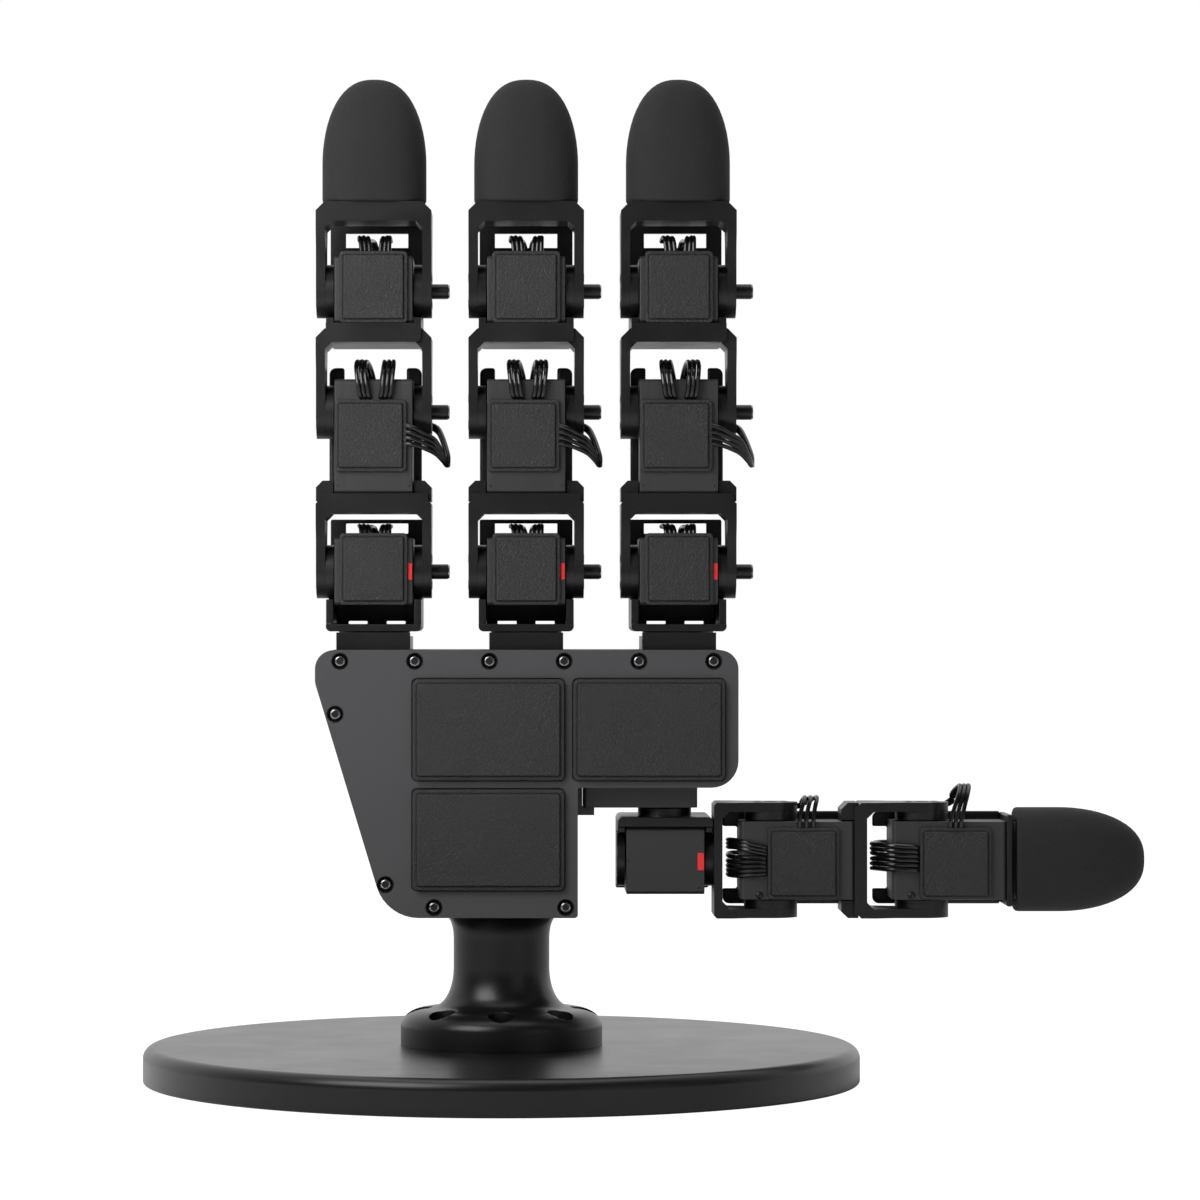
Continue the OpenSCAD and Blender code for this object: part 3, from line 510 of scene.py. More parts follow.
@dataclass
class Studio:
    """A plain white studio, with a long lens level with the middle of the hand."""

    focal_mm: float = 138.0
    eye: tuple[float, float, float] = (0.00615, -1.380, 0.138)
    shift: tuple[float, float] = (0.065, 0.0167)
    bright: float = 1.05
    dim: float = 0.08
    floor_size: float = 14.0

    def camera(self) -> None:
        """Sets the camera."""
        lens = bpy.data.cameras.new("camera")
        lens.lens = self.focal_mm
        lens.sensor_width = 36.0
        lens.shift_x, lens.shift_y = self.shift
        lens.clip_end = 100.0
        camera = bpy.data.objects.new("camera", lens)
        camera.location = self.eye
        camera.rotation_euler = (math.radians(90), 0.0, 0.0)
        bpy.context.scene.collection.objects.link(camera)
        bpy.context.scene.camera = camera

    def world(self) -> None:
        """White to the eye; as a light, a bright backdrop behind the hand and a dim room before it."""
        world = bpy.data.worlds.new("studio")
        bpy.context.scene.world = world
        world.use_nodes = True
        tree = world.node_tree
        tree.nodes.clear()
        way = add_node(tree, "ShaderNodeTexCoord").outputs["Generated"]
        depth = add_node(tree, "ShaderNodeSeparateXYZ", {0: way}).outputs["Y"]
        room = add_node(tree, "ShaderNodeMapRange", {"Value": depth, "From Min": -0.40, "From Max": 0.55,
                                                     "To Min": self.dim, "To Max": self.bright},
                        interpolation_type="SMOOTHSTEP")
        eye = add_node(tree, "ShaderNodeLightPath").outputs["Is Camera Ray"]
        level = add_node(tree, "ShaderNodeMapRange", {"Value": eye, "To Min": room.outputs["Result"],
                                                      "To Max": 1.0})
        glow = add_node(tree, "ShaderNodeBackground", {"Color": (1.0, 1.0, 1.0, 1.0),
                                                       "Strength": level.outputs["Result"]})
        add_node(tree, "ShaderNodeOutputWorld", {"Surface": glow.outputs[0]})

    def floor(self) -> None:
        """A matte white floor that keeps the object's shadow."""
        bm = bmesh.new()
        bmesh.ops.create_grid(bm, x_segments=24, y_segments=24, size=self.floor_size / 2)
        mesh = bpy.data.meshes.new("floor")
        bm.to_mesh(mesh)
        bm.free()
        material = bpy.data.materials.new("white_studio_floor")
        material.use_nodes = True
        tree = material.node_tree
        tree.nodes.clear()
        paint = add_node(tree, "ShaderNodeBsdfDiffuse", {"Color": (0.86, 0.86, 0.86, 1.0)})
        glow = add_node(tree, "ShaderNodeEmission", {"Color": (1.0, 1.0, 1.0, 1.0), "Strength": 1.18})
        path = add_node(tree, "ShaderNodeLightPath")
        share = add_node(tree, "ShaderNodeMath", {0: path.outputs["Is Camera Ray"], 1: 0.86},
                         operation="MULTIPLY")
        both = add_node(tree, "ShaderNodeMixShader", {0: share.outputs[0], 1: paint.outputs[0],
                                                      2: glow.outputs[0]})
        add_node(tree, "ShaderNodeOutputMaterial", {"Surface": both.outputs[0]})
        mesh.materials.append(material)
        floor = bpy.data.objects.new("floor", mesh)
        floor.location = (0.0, 0.0, -0.0002)
        bpy.context.scene.collection.objects.link(floor)

    def lamp(self, name: str, place: Point, target: Point, size: float, watts: float) -> None:
        """A soft square lamp that looks at a point."""
        light = bpy.data.lights.new(name, "AREA")
        light.size = size
        light.energy = watts
        lamp = bpy.data.objects.new(name, light)
        lamp.location = place
        lamp.rotation_euler = (Vector(target) - Vector(place)).to_track_quat("-Z", "Y").to_euler()
        lamp.visible_camera = False
        bpy.context.scene.collection.objects.link(lamp)

    def build(self) -> None:
        """Sets up everything round the object."""
        bpy.context.scene.view_settings.view_transform = "Standard"
        self.camera()
        self.world()
        self.floor()
        self.lamp("key", (-0.27, -0.32, 0.38), (0.0, 0.0, 0.17), 0.32, 2.3)
        self.lamp("fill", (1.2, -1.4, 0.5), (0.0, 0.0, 0.12), 1.0, 1.5)
        self.lamp("top", (0.0, 0.1, 1.7), (0.0, 0.0, 0.1), 1.3, 8.0)


# ---- Repeated small parts ----------------------------------------------------------------------


def hexagon(across: float, height: float, count: int = 24) -> list[tuple[float, float, float]]:
    """Points along a hexagon's sides, in metres."""
    points = []
    for i in range(count):
        angle = 2 * math.pi * i / count
        off = (angle + math.pi / 6) % (math.pi / 3) - math.pi / 6
        radius = across / 2 / math.cos(off)
        points.append((radius * MM * math.cos(angle), radius * MM * math.sin(angle), height * MM))
    return points


def screw_head(name: str, profile: Sequence[tuple[float, float]], socket: float,
               depth: float) -> bpy.types.Mesh:
    """A screw's head along Z with a hexagon socket.

    Args:
        name: The mesh's name.
        profile: Radius and height of the outside from the foot to the crown, in millimetres.
        socket: Width across the socket's flats.
        depth: Depth of the socket.

    Returns:
        The mesh.
    """
    top = profile[-1][1]
    rings = [circle(r, z) for r, z in profile]
    rings += [hexagon(socket, top), hexagon(socket * 0.98, top - depth)]
    return loft(name, rings)


def surface_of(size: Sequence[float], default: Surface) -> Surface:
    """The finish of one solid of a node, told from its size in millimetres."""
    small, middle, large = sorted(size)
    if 19.8 <= small <= 20.2 and 23.0 <= middle <= 23.6:
        return Surface.CASE
    if 1.4 <= small <= 1.8 and large > 30:
        return Surface.BOARD
    if middle < 5.3 or (15.5 <= middle <= 16.5 and large < 16.6 and small < 8):
        return Surface.DARK_STEEL
    return default


def shells(bm: bmesh.types.BMesh) -> Iterable[list[bmesh.types.BMVert]]:
    """The vertices of each connected solid."""
    seen: set[bmesh.types.BMVert] = set()
    for start in bm.verts:
        if start in seen:
            continue
        shell, front = [start], [start]
        seen.add(start)
        while front:
            for edge in front.pop().link_edges:
                for vert in edge.verts:
                    if vert not in seen:
                        seen.add(vert)
                        shell.append(vert)
                        front.append(vert)
        yield shell


def dress(bm: bmesh.types.BMesh, used: list[Surface], default: Surface, dark_above: float) -> None:
    """Gives every face the finish of its solid, or black above a height in millimetres."""
    for shell in shells(bm):
        size = [(max(v.co[i] for v in shell) - min(v.co[i] for v in shell)) / MM for i in range(3)]
        for face in dict.fromkeys(face for vert in shell for face in vert.link_faces):
            above = face.calc_center_median().z > dark_above * MM
            surface = Surface.FRAME if above else surface_of(size, default)
            if surface not in used:
                used.append(surface)
            face.material_index = used.index(surface)


def refined(node: str, default: Surface, bevel_mm: float = 0.3, sharp_deg: float = 30.0,
            soft_mm: float = 0.0, dark_above: float = 1000.0) -> bpy.types.Mesh:
    """A CAD node's copy with broken edges and each solid in its own finish.

    Args:
        node: The CAD node.
        default: Finish of its main solid.
        bevel_mm: Width of the broken edges.
        sharp_deg: Edges with a larger angle are broken.
        soft_mm: Width of the broken edges on its black frames, if wider.
        dark_above: Height in millimetres above which its faces are black.

    Returns:
        The mesh.
    """
    bm = bmesh.new()
    bm.from_mesh(FRAME["nodes"][node].data)
    bmesh.ops.remove_doubles(bm, verts=bm.verts, dist=2e-6)
    bmesh.ops.dissolve_degenerate(bm, edges=bm.edges, dist=2e-6)
    used: list[Surface] = []
    dress(bm, used, default, dark_above)
    bmesh.ops.dissolve_limit(bm, angle_limit=math.radians(0.6), verts=bm.verts, edges=bm.edges,
                             delimit={"MATERIAL"})
    sharp = [e for e in bm.edges if len(e.link_faces) == 2
             and e.calc_face_angle(0.0) > math.radians(sharp_deg)]
    hard, soft = [], []
    for edge in sharp:
        on_frame = used[edge.link_faces[0].material_index] is Surface.FRAME
        (soft if soft_mm and on_frame else hard).append(edge)
    for edges, width, steps in ((hard, bevel_mm, 2), (soft, soft_mm, 3)):
        live = [e for e in edges if e.is_valid]
        if live and width > 0:
            bmesh.ops.bevel(bm, geom=live, offset=width * MM, segments=steps, profile=0.6, affect="EDGES",
                            clamp_overlap=True, offset_type="OFFSET")
    dress(bm, used, default, dark_above)
    mesh = bpy.data.meshes.new(node)
    bm.to_mesh(mesh)
    bm.free()
    for surface in used:
        mesh.materials.append(finish(surface))
    return mesh


# ---- Sub-assemblies ----------------------------------------------------------------------------


@dataclass
class Stand:
    """The round base, its flange with eight bolts, and the neck."""

    disc_d: float = 214.5
    disc_h: float = 10.8
    edge_r: float = 3.5
    foot_r: float = 0.8
    bolt_circle: float = 49.0
    head_top: float = 17.8
    head_d: float = 7.0
    head_h: float = 4.0

    def disc(self) -> None:
        """The turned disc, with the rounded upper edge."""
        radius = self.disc_d / 2
        profile = [(0.0, 0.0), (radius - 9, 0.0)]
        profile += arc((radius - self.foot_r, self.foot_r), self.foot_r, -90, 0, 5)
        profile += arc((radius - self.edge_r, self.disc_h - self.edge_r), self.edge_r, 0, 90, 12)
        profile += [(radius - 12, self.disc_h), (radius / 2, self.disc_h), (0.0, self.disc_h)]
        mesh = lathe("stand_disc", profile, 192)
        new_piece("stand_disc", mesh, Surface.STAND, "stand_and_palm", ["base_plate"])

    def column(self) -> None:
        """Flange and neck."""
        mesh = refined("stand_column", Surface.STAND, 0.35, 40.0)
        new_piece("stand_neck", mesh, Surface.STAND, "stand_and_palm", ["stand_column"])

    def bolts(self, repeater: Repeater) -> bpy.types.Mesh:
        """Socket bolts down in the flange."""
        radius = self.head_d / 2
        head = screw_head("bolt", [(radius, -self.head_h), (radius, -0.4), (radius - 0.4, 0.0)], 3.0, 2.2)
        seats = [(self.bolt_circle / 2 * MM * math.cos(math.radians(45 * i)),
                  self.bolt_circle / 2 * MM * math.sin(math.radians(45 * i)), self.head_top * MM)
                 for i in range(8)]
        return repeater.rows("flange_bolts", head, seats, (0, 0, 1), Surface.DARK_STEEL, spin=1.0)


@dataclass
class Pad:
    """A moulded pad: a flat rim, a crease, and a raised field with rounded edges."""

    corner_r: float = 1.2
    rim: float = 1.0
    rim_drop: float = 0.75

    def mesh(self, name: str, width: float, height: float, thick: float) -> bpy.types.Mesh:
        """The pad with its back at the origin and its face along +Z, sizes in millimetres."""
        top = thick
        rim_z = top - self.rim_drop
        rim = self.rim
        steps: list[tuple[float, float]] = [
            (0.0, 0.0), (0.0, rim_z - 0.3), (0.1, rim_z - 0.08), (0.3, rim_z), (rim - 0.1, rim_z),
            (rim, rim_z - 0.1), (rim + 0.08, rim_z - 0.1), (rim + 0.14, rim_z), (rim + 0.22, top - 0.3),
            (rim + 0.4, top - 0.08), (rim + 0.75, top)]
        rings = []
        for inset, z in steps:
            ring = rounded_rectangle(width - 2 * inset, height - 2 * inset,
                                     max(self.corner_r - inset * 0.55, 0.35), 5)
            rings.append([(x * MM, y * MM, z * MM) for x, y in ring])
        return loft(name, rings)

    def on_box(self, node: str) -> bpy.types.Mesh:
        """The pad that fills a CAD pad's box and faces along -Y."""
        low, high = (Vector(v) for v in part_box(node))
        size = (high - low) / MM
        middle = (low + high) / 2
        mesh = self.mesh(node, size.x, size.z, size.y)
        turn = Matrix.Rotation(math.radians(90), 4, "X")
        mesh.transform(Matrix.Translation((middle.x, high.y, middle.z)) @ turn)
        return painted(mesh, Surface.PAD)


@dataclass
class Palm:
    """The block: shell, cover plate, three skins, screws and the drives inside."""

    face_y: float = -17.5
    top: float = 129.1
    pad_w: float = 45.0
    pad_h: float = 30.0
    pad_t: float = 2.6
    pad_centres: tuple[tuple[float, float], ...] = ((-3.8, 105.5), (43.8, 105.5), (-3.8, 72.9))
    head_d: float = 4.0
    recess_d: float = 5.1

    def screw_places(self) -> list[tuple[float, float]]:
        """X and Z of the cover screws: a top row, one at the left and three along the foot."""
        top = [(-47.8 + 22.15 * i, 125.8) for i in range(6)]
        return top + [(-49.2, 110.1), (-34.3, 59.6), (-19.9, 52.8), (19.1, 52.8)]

    def shell(self) -> None:
        """Shell and cover."""
        for node, name in (("palm_shell", "palm_block"), ("palm_cover", "palm_face")):
            mesh = refined(node, Surface.PLATE, 0.4, 35.0, dark_above=self.top + 0.15)
            new_piece(name, mesh, Surface.PLATE, "stand_and_palm", [node])

    def skins(self) -> None:
        """The three leather-grained skins."""
        pad = Pad(corner_r=1.6, rim=1.1)
        low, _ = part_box("palm_pads")
        parts = []
        for x, z in self.pad_centres:
            mesh = pad.mesh("skin", self.pad_w, self.pad_h, self.pad_t)
            place = Matrix.Translation((x * MM, low[1] + self.pad_t * MM, z * MM))
            mesh.transform(place @ Matrix.Rotation(math.radians(90), 4, "X"))
            parts.append(painted(mesh, Surface.PAD))
        new_piece("palm_skins", joined("palm_skins", parts), Surface.PAD, "stand_and_palm",
                  ["palm_pads"])

    def drives(self) -> None:
        """Swivel and yaw drives and the control board."""
        new_piece("palm_drive_units", refined("palm_drives", Surface.CASE, 0.25), Surface.CASE,
                  "stand_and_palm", ["palm_drives"])

    def screws(self, repeater: Repeater, bolts: bpy.types.Mesh) -> None:
        """Button screws with black plugs of painted shade in their sockets and black rings of painted shade
        in their recesses, kept in one piece with the flange's bolts.
        """
        radius = self.head_d / 2
        dome = [(radius, -1.2), (radius, 0.0), (radius * 0.97, 0.3), (radius * 0.88, 0.65),
                (radius * 0.74, 0.95), (radius * 0.6, 1.12)]
        head = screw_head("button", dome, 1.9, 0.9)
        spots = [(x * MM, (self.face_y + 1.3) * MM, z * MM) for x, z in self.screw_places()]
        heads = repeater.rows("cover_screws", head, spots, (0, -1, 0), Surface.STEEL, spin=1.0)
        # Painted shade: a flat black hex plug fills each socket to just below the crown.
        plug = loft("socket", [hexagon(1.9, 0.2), hexagon(1.9, 0.9)])
        sockets = repeater.rows("sockets", plug, spots, (0, -1, 0), Surface.HOLLOW, spin=1.0)
        # Painted shade: a flat black ring fills the recess round each head.
        inner, outer = self.head_d / 2 + 0.05, self.recess_d / 2 - 0.02
        ring = loft("ring", [circle(inner, -0.4), circle(outer, -0.4), circle(outer, 1.18),
                             circle(outer - 0.12, 1.22), circle(inner + 0.1, 0.1), circle(inner, 0.0)],
                    closed=True)
        rings = repeater.rows("screw_rings", ring, spots, (0, -1, 0), Surface.HOLLOW)
        new_piece("screws", joined("screws", [heads, sockets, rings, bolts]), Surface.STEEL, "stand_and_palm",
                  ["fasteners"])


def groove(mesh: bpy.types.Mesh, point: Point, normal: Point, width: float, depth: float) -> bpy.types.Mesh:
    """Presses a V-shaped seam into a mesh along a plane.

    Args:
        mesh: The mesh.
        point: A point on the plane, in metres.
        normal: The plane's direction.
        width: Width of the seam in millimetres.
        depth: Its depth in millimetres.

    Returns:
        The mesh, changed in place.
    """
    bm = bmesh.new()
    bm.from_mesh(mesh)
    side = Vector(normal).normalized()
    centre = Vector(point)
    for shift in (-width / 2, 0.0, width / 2):
        bmesh.ops.bisect_plane(bm, geom=bm.verts[:] + bm.edges[:] + bm.faces[:], dist=1e-7,
                               plane_co=centre + side * shift * MM, plane_no=side)
    bm.normal_update()
    for vert in [v for v in bm.verts if abs((v.co - centre).dot(side)) < 1e-6]:
        inward = vert.normal - side * vert.normal.dot(side)
        if inward.length > 0.1:
            vert.co -= inward.normalized() * depth * MM
    bm.to_mesh(mesh)
    bm.free()
    return mesh


def block(name: str, low: Point, high: Point, edge: float, surface: Surface) -> bpy.types.Mesh:
    """A small moulded block with rounded edges, corners in millimetres."""
    size = [b - a for a, b in zip(low, high)]
    middle = [(a + b) / 2 * MM for a, b in zip(low, high)]
    rings = []
    for inset, z in ((edge, 0.0), (edge * 0.3, edge * 0.3), (0.0, edge), (0.0, size[2] - edge),
                     (edge * 0.3, size[2] - edge * 0.3), (edge, size[2])):
        ring = rounded_rectangle(size[0] - 2 * inset, size[1] - 2 * inset, edge + 0.05, 3)
        rings.append([(x * MM, y * MM, (z - size[2] / 2) * MM) for x, y in ring])
    return painted(loft(name, rings, Matrix.Translation(middle)), surface)


@dataclass(frozen=True)
class Loom:
    """The wires of one servo: strands over its end, and a fan of strands out of its side.

    All places are in the servo's own frame. A strand's x drifts from its foot to its crown and
    then to its rear, while it follows the way in y and z.
    """

    way: tuple[tuple[float, float], ...]
    feet: tuple[float, ...]
    crowns: tuple[float, ...]
    rears: tuple[float, ...]
    fan: tuple[tuple[Point, ...], ...] = ()
    plugs: bool = False


def fan_of(starts: Sequence[float], points: Sequence[Point], shares: Sequence[float],
           ends: Sequence[Point]) -> tuple[tuple[Point, ...], ...]:
    """Strands out of a servo's side, which start apart and run together behind it.

    Args:
        starts: Each strand's z at the start.
        points: The way of a strand that starts at z = 0; its z counts from the start.
        shares: How much of the start's distance is left at each point.
        ends: The common way behind the servo.

    Returns:
        One route per strand.
    """
    middle = sum(starts) / len(starts)
    routes = []
    for k, start in enumerate(starts):
        way = [(x, y, z + middle + (start - middle) * share) for (x, y, z), share in zip(points, shares)]
        off = (k - (len(starts) - 1) / 2) * 0.75
        way += [(x, y + 0.3 * off, z + off * (1 - i / (len(ends) + 1))) for i, (x, y, z) in enumerate(ends)]
        routes.append(tuple(way))
    return tuple(routes)


FINGER_PAIR = ((-3.6, -2.3, -1.0, 2.0, 3.3, 4.6), (-4.7, -3.5, -2.2, 3.0, 4.2, 4.7),
               (-1.9, -0.9, 0.2, 1.2, 2.2, 3.2))


class Link(Enum):
    """The looms: two kinds over a cage, one over a bending servo, and the thumb's two."""

    KNUCKLE = Loom(((-6.5, 10), (-6.5, 12), (-5, 13.4), (-2, 13.9), (4, 13.9), (11, 13.9), (18, 13.9),
                    (25, 13.9), (27.5, 13.2), (28.7, 11), (28.7, 5)), *FINGER_PAIR, plugs=True)
    TIP = Loom(((-6.5, 10), (-6.6, 12.6), (-5.6, 15.2), (-2.5, 16.2), (4, 16.1), (11, 16.1), (18, 16.6),
                (25, 17.2), (27.5, 16.4), (28.7, 13.6), (28.7, 5)), *FINGER_PAIR, plugs=True)
    BEND = Loom(((-9.9, 4.1), (-10.7, 4.2), (-11.5, 5.4), (-11.9, 8.6), (-10.6, 12), (-7, 14.3), (-1, 15.3),
                 (6, 14.8), (12.2, 12.6), (15.1, 9.2), (15.2, 5), (15.2, 1)),
                (-3.6, -2.3, -1.0, 2.0, 3.3, 4.6), (-5.2, -3.9, -2.6, 3.2, 4.6, 6.0),
                (-1.6, -0.6, 0.4, 1.0, 2.0, 3.0),
                fan_of((-4.3, -6.1, -7.9, -9.7),
                       ((9.6, -10.8, 0), (12.3, -11.1, -0.7), (15.6, -10.3, -2.2), (18.4, -8.9, -3.7),
                        (20.6, -7.2, -6.7), (21.9, -5.0, -8.9)),
                       (1.0, 0.92, 0.8, 0.75, 0.4, 0.1),
                       ((22.2, -2, -14.6), (21.4, 2, -11.2), (20.2, 6, -7.6), (19, 9, -5.2),
                        (17.2, 11.1, -3.9), (15.4, 11.5, -3.5), (14, 11.5, -3.5))))
    THUMB_BEND = Loom(((-9.9, 1.9), (-10.8, 2.1), (-11.3, 3.6), (-11.3, 6.0), (-10.8, 8.0), (-9.7, 9.5),
                       (-7.6, 11.1), (-4.5, 12.4), (-1, 12.8), (4, 12.7), (9, 12.3), (12.6, 11.8),
                       (15.2, 9.2), (15.3, 5), (15.3, 1)),
                      (3.9, 2.9, 1.9, 0.7, -0.5, -1.7, -2.8, -3.9),
                      (6.1, 5.0, 3.9, 1.1, -0.4, -1.9, -3.3, -4.6),
                      (4.7, 3.6, 2.5, 1.3, -1.0, -2.2, -3.4, -4.6),
                      fan_of((-8.1, -10.1, -12.2),
                             ((10.1, -10.8, 0), (12.2, -11.1, 0), (15.4, -10.6, -0.5), (18.0, -8.8, -1.3),
                              (18.8, -5.6, -1.6), (18.2, -2.0, -1.0), (17.0, 1.6, -0.2)),
                             (1.0, 1.0, 0.95, 0.9, 0.85, 0.7, 0.5),
                             ((15.9, 5.2, -9.0), (15.0, 8.6, -6.4), (14.3, 10.8, -4.4), (14, 11.5, -3.5))))
    THUMB_TIP = Loom(((-9.9, 1.9), (-10.8, 2.1), (-11.5, 3.6), (-11.9, 7), (-11.2, 10), (-8.6, 12.6),
                      (-4.5, 14.4), (0, 15), (6, 13.9), (12.6, 12.4), (15.2, 9.2), (15.3, 5), (15.3, 1)),
                     (3.9, 2.6, 1.3, 0.0, -1.4, -2.8), (4.7, 3.3, 1.9, 0.6, -0.9, -2.4),
                     (4.4, 3.2, 2.0, -2.0, -3.2, -4.4),
                     fan_of((-7.6, -9.2, -10.8),
                            ((10.1, -10.8, 0), (12.2, -11.1, -0.2), (16.2, -10.4, -1.3), (20.0, -8.4, -2.6),
                             (22.2, -5.2, -3.2), (21.6, -1.6, -2.4), (19.4, 2.2, -0.8)),
                            (1.0, 1.0, 0.9, 0.8, 0.8, 0.7, 0.5),
                            ((17.0, 5.6, -9.0), (15.6, 8.6, -6.8), (14.6, 10.8, -4.6), (14, 11.5, -3.5))))


@dataclass
class Harness:
    """Makes the wires of a loom, each a round insulated strand."""

    wire_d: float = 1.32

    def strand(self, name: str, route: Sequence[Point]) -> bpy.types.Mesh:
        """One wire through the points of a route in millimetres."""
        path = smooth_route([Vector(p) * MM for p in route])
        return painted(tube(name, path, self.wire_d / 2 * MM, 10), Surface.LEAD)

    def over(self, name: str, loom: Loom) -> list[bpy.types.Mesh]:
        """The strands over the servo's end, no two lying quite alike."""
        strands = []
        last = len(loom.way) - 1
        for k, (foot, crown, rear) in enumerate(zip(loom.feet, loom.crowns, loom.rears)):
            route = []
            for i, (y, z) in enumerate(loom.way):
                t = i / last
                near, far = (foot, crown) if t < 0.45 else (crown, rear)
                part = t / 0.45 if t < 0.45 else (t - 0.45) / 0.55
                part = part * part * (3 - 2 * part)
                swell = math.sin(math.pi * min(t * 1.5, 1.0)) * 0.28 * math.sin(2.3 * k + 0.6)
                route.append((near + (far - near) * part, y, z - abs(swell)))
            strands.append(self.strand(name, route))
        return strands

    def piece(self, node: str, kind: Link, place: Matrix, body: str) -> None:
        """Makes the leads that stand for a CAD lead node."""
        loom = kind.value
        parts = self.over(node, loom) + [self.strand(node, route) for route in loom.fan]
        if loom.plugs:
            parts += [block("plug", (x - 2.3, -8.2, 9.9), (x + 2.3, -4.8, 11.3), 0.3, Surface.DARK_STEEL)
                      for x in (-2.9, 3.0)]
        mesh = joined(node, parts)
        mesh.transform(place)
        new_piece(f"{node}_wires", mesh, Surface.LEAD, body, [node])


def along(axis: int, value: float) -> list[float]:
    """A vector along one axis: 0 for X, 1 for Y, 2 for Z."""
    return [value if i == axis else 0.0 for i in range(3)]


@dataclass
class Servo:
    """A servo's case: three mouldings with seams, small screws, and a red mark on some."""

    repeater: Repeater
    half_w: float = 11.65
    seam_off: float = 8.55
    seam_w: float = 0.3
    seam_depth: float = 0.1

    def seams(self, mesh: bpy.types.Mesh, across: int, middle: float) -> bpy.types.Mesh:
        """The two seams of a case.

        Args:
            mesh: The case.
            across: The horn's axis, 0 for X or 2 for Z.
            middle: The case's middle on that axis, in millimetres.

        Returns:
            The mesh, changed in place.
        """
        for side in (-1, 1):
            groove(mesh, along(across, (middle + side * self.seam_off) * MM), along(across, 1.0), self.seam_w,
                   self.seam_depth)
        return mesh

    def face_screws(self, head: bpy.types.Mesh, places: Sequence[tuple[float, float]],
                    y: float) -> bpy.types.Mesh:
        """Small screws in a face that looks along -Y, places as X and Z in millimetres."""
        seats = [(x * MM, y * MM, z * MM) for x, z in places]
        return self.repeater.rows("case_screws", head, seats, (0, -1, 0), Surface.DARK_STEEL, spin=1.0)

    def mark(self, left: float, right: float, low: float, high: float) -> bpy.types.Mesh:
        """The small red mark at the right edge of a servo's face, in millimetres."""
        return block("mark", (left, -9.8, low), (right, -9.2, high), 0.2, Surface.RED)


@dataclass
class Digit:
    """What the fingers and the thumb share: servos, frames, grip pads, leads and a rubber tip.

    The pivots lie across the digit, along X on a finger and along Z on the thumb. `middle` is the
    place of its middle plane on that axis.
    """

    name: str
    middle: float
    repeater: Repeater
    heads: dict[str, bpy.types.Mesh]
    across: int = 0
    case_edge: float = 0.9
    arm_out: float = 17.23
    screw_circle_r: float = 5.5
    screw_lift: float = 0.02

    def body(self, part: str) -> str:
        """The name of one of its bodies."""
        return f"{self.name}_{part}_link"

    def drive(self, part: str, body: str, kind: Link, place: Matrix,
              extra: Sequence[bpy.types.Mesh] = ()) -> None:
        """A servo with its case, grip pad and leads.

        Args:
            part: The joint that it drives.
            body: The body that it rides on.
            kind: Its loom.
            place: The frame of its axis.
            extra: Small parts on the case.
        """
        node = f"{self.name}_{part}"
        mesh = refined(f"{node}_servo", Surface.FRAME, 0.3, soft_mm=self.case_edge)
        mesh = Servo(self.repeater).seams(mesh, self.across, self.middle)
        new_piece(f"{node}_servo_case", joined(node, [mesh, *extra]), Surface.CASE, body,
                  [f"{node}_servo"])
        new_piece(f"{node}_pad_skin", Pad().on_box(f"{node}_pad"), Surface.PAD, body,
                  [f"{node}_pad"])
        Harness().piece(f"{node}_leads", kind, place, body)

    def frame(self, part: str, body: str, extra: Sequence[bpy.types.Mesh] = (),
              bevel_mm: float = 0.35) -> None:
        """A black metal frame with the small parts on it."""
        node = f"{self.name}_{part}"
        mesh = joined(node, [refined(node, Surface.FRAME, bevel_mm), *extra])
        new_piece(f"{node}_frame", mesh, Surface.FRAME, body, [node])

    def arm_screws(self, pivot: Point) -> list[bpy.types.Mesh]:
        """Four flat screws round a pivot, in millimetres, on each arm of a fork."""
        first, second = (axis for axis in range(3) if axis != self.across)
        rows = []
        for side in (-1, 1):
            seats = []
            for angle in (math.radians(45 + 90 * i) for i in range(4)):
                seat = list(pivot)
                seat[self.across] += side * (self.arm_out + self.screw_lift)
                seat[first] += self.screw_circle_r * math.cos(angle)
                seat[second] += self.screw_circle_r * math.sin(angle)
                seats.append([value * MM for value in seat])
            rows.append(self.repeater.rows("arm_screws", self.heads["flat"], seats, along(self.across, side),
                                           Surface.DARK_STEEL, spin=1.0))
        return rows

    def rubber(self, length: float, place: Matrix, body: str) -> None:
        """The rubber fingertip."""
        new_piece(f"{self.name}_tip_rubber", tip_form("tip", length, place), Surface.RUBBER, body,
                  [f"{self.name}_fingertip"], 60.0)


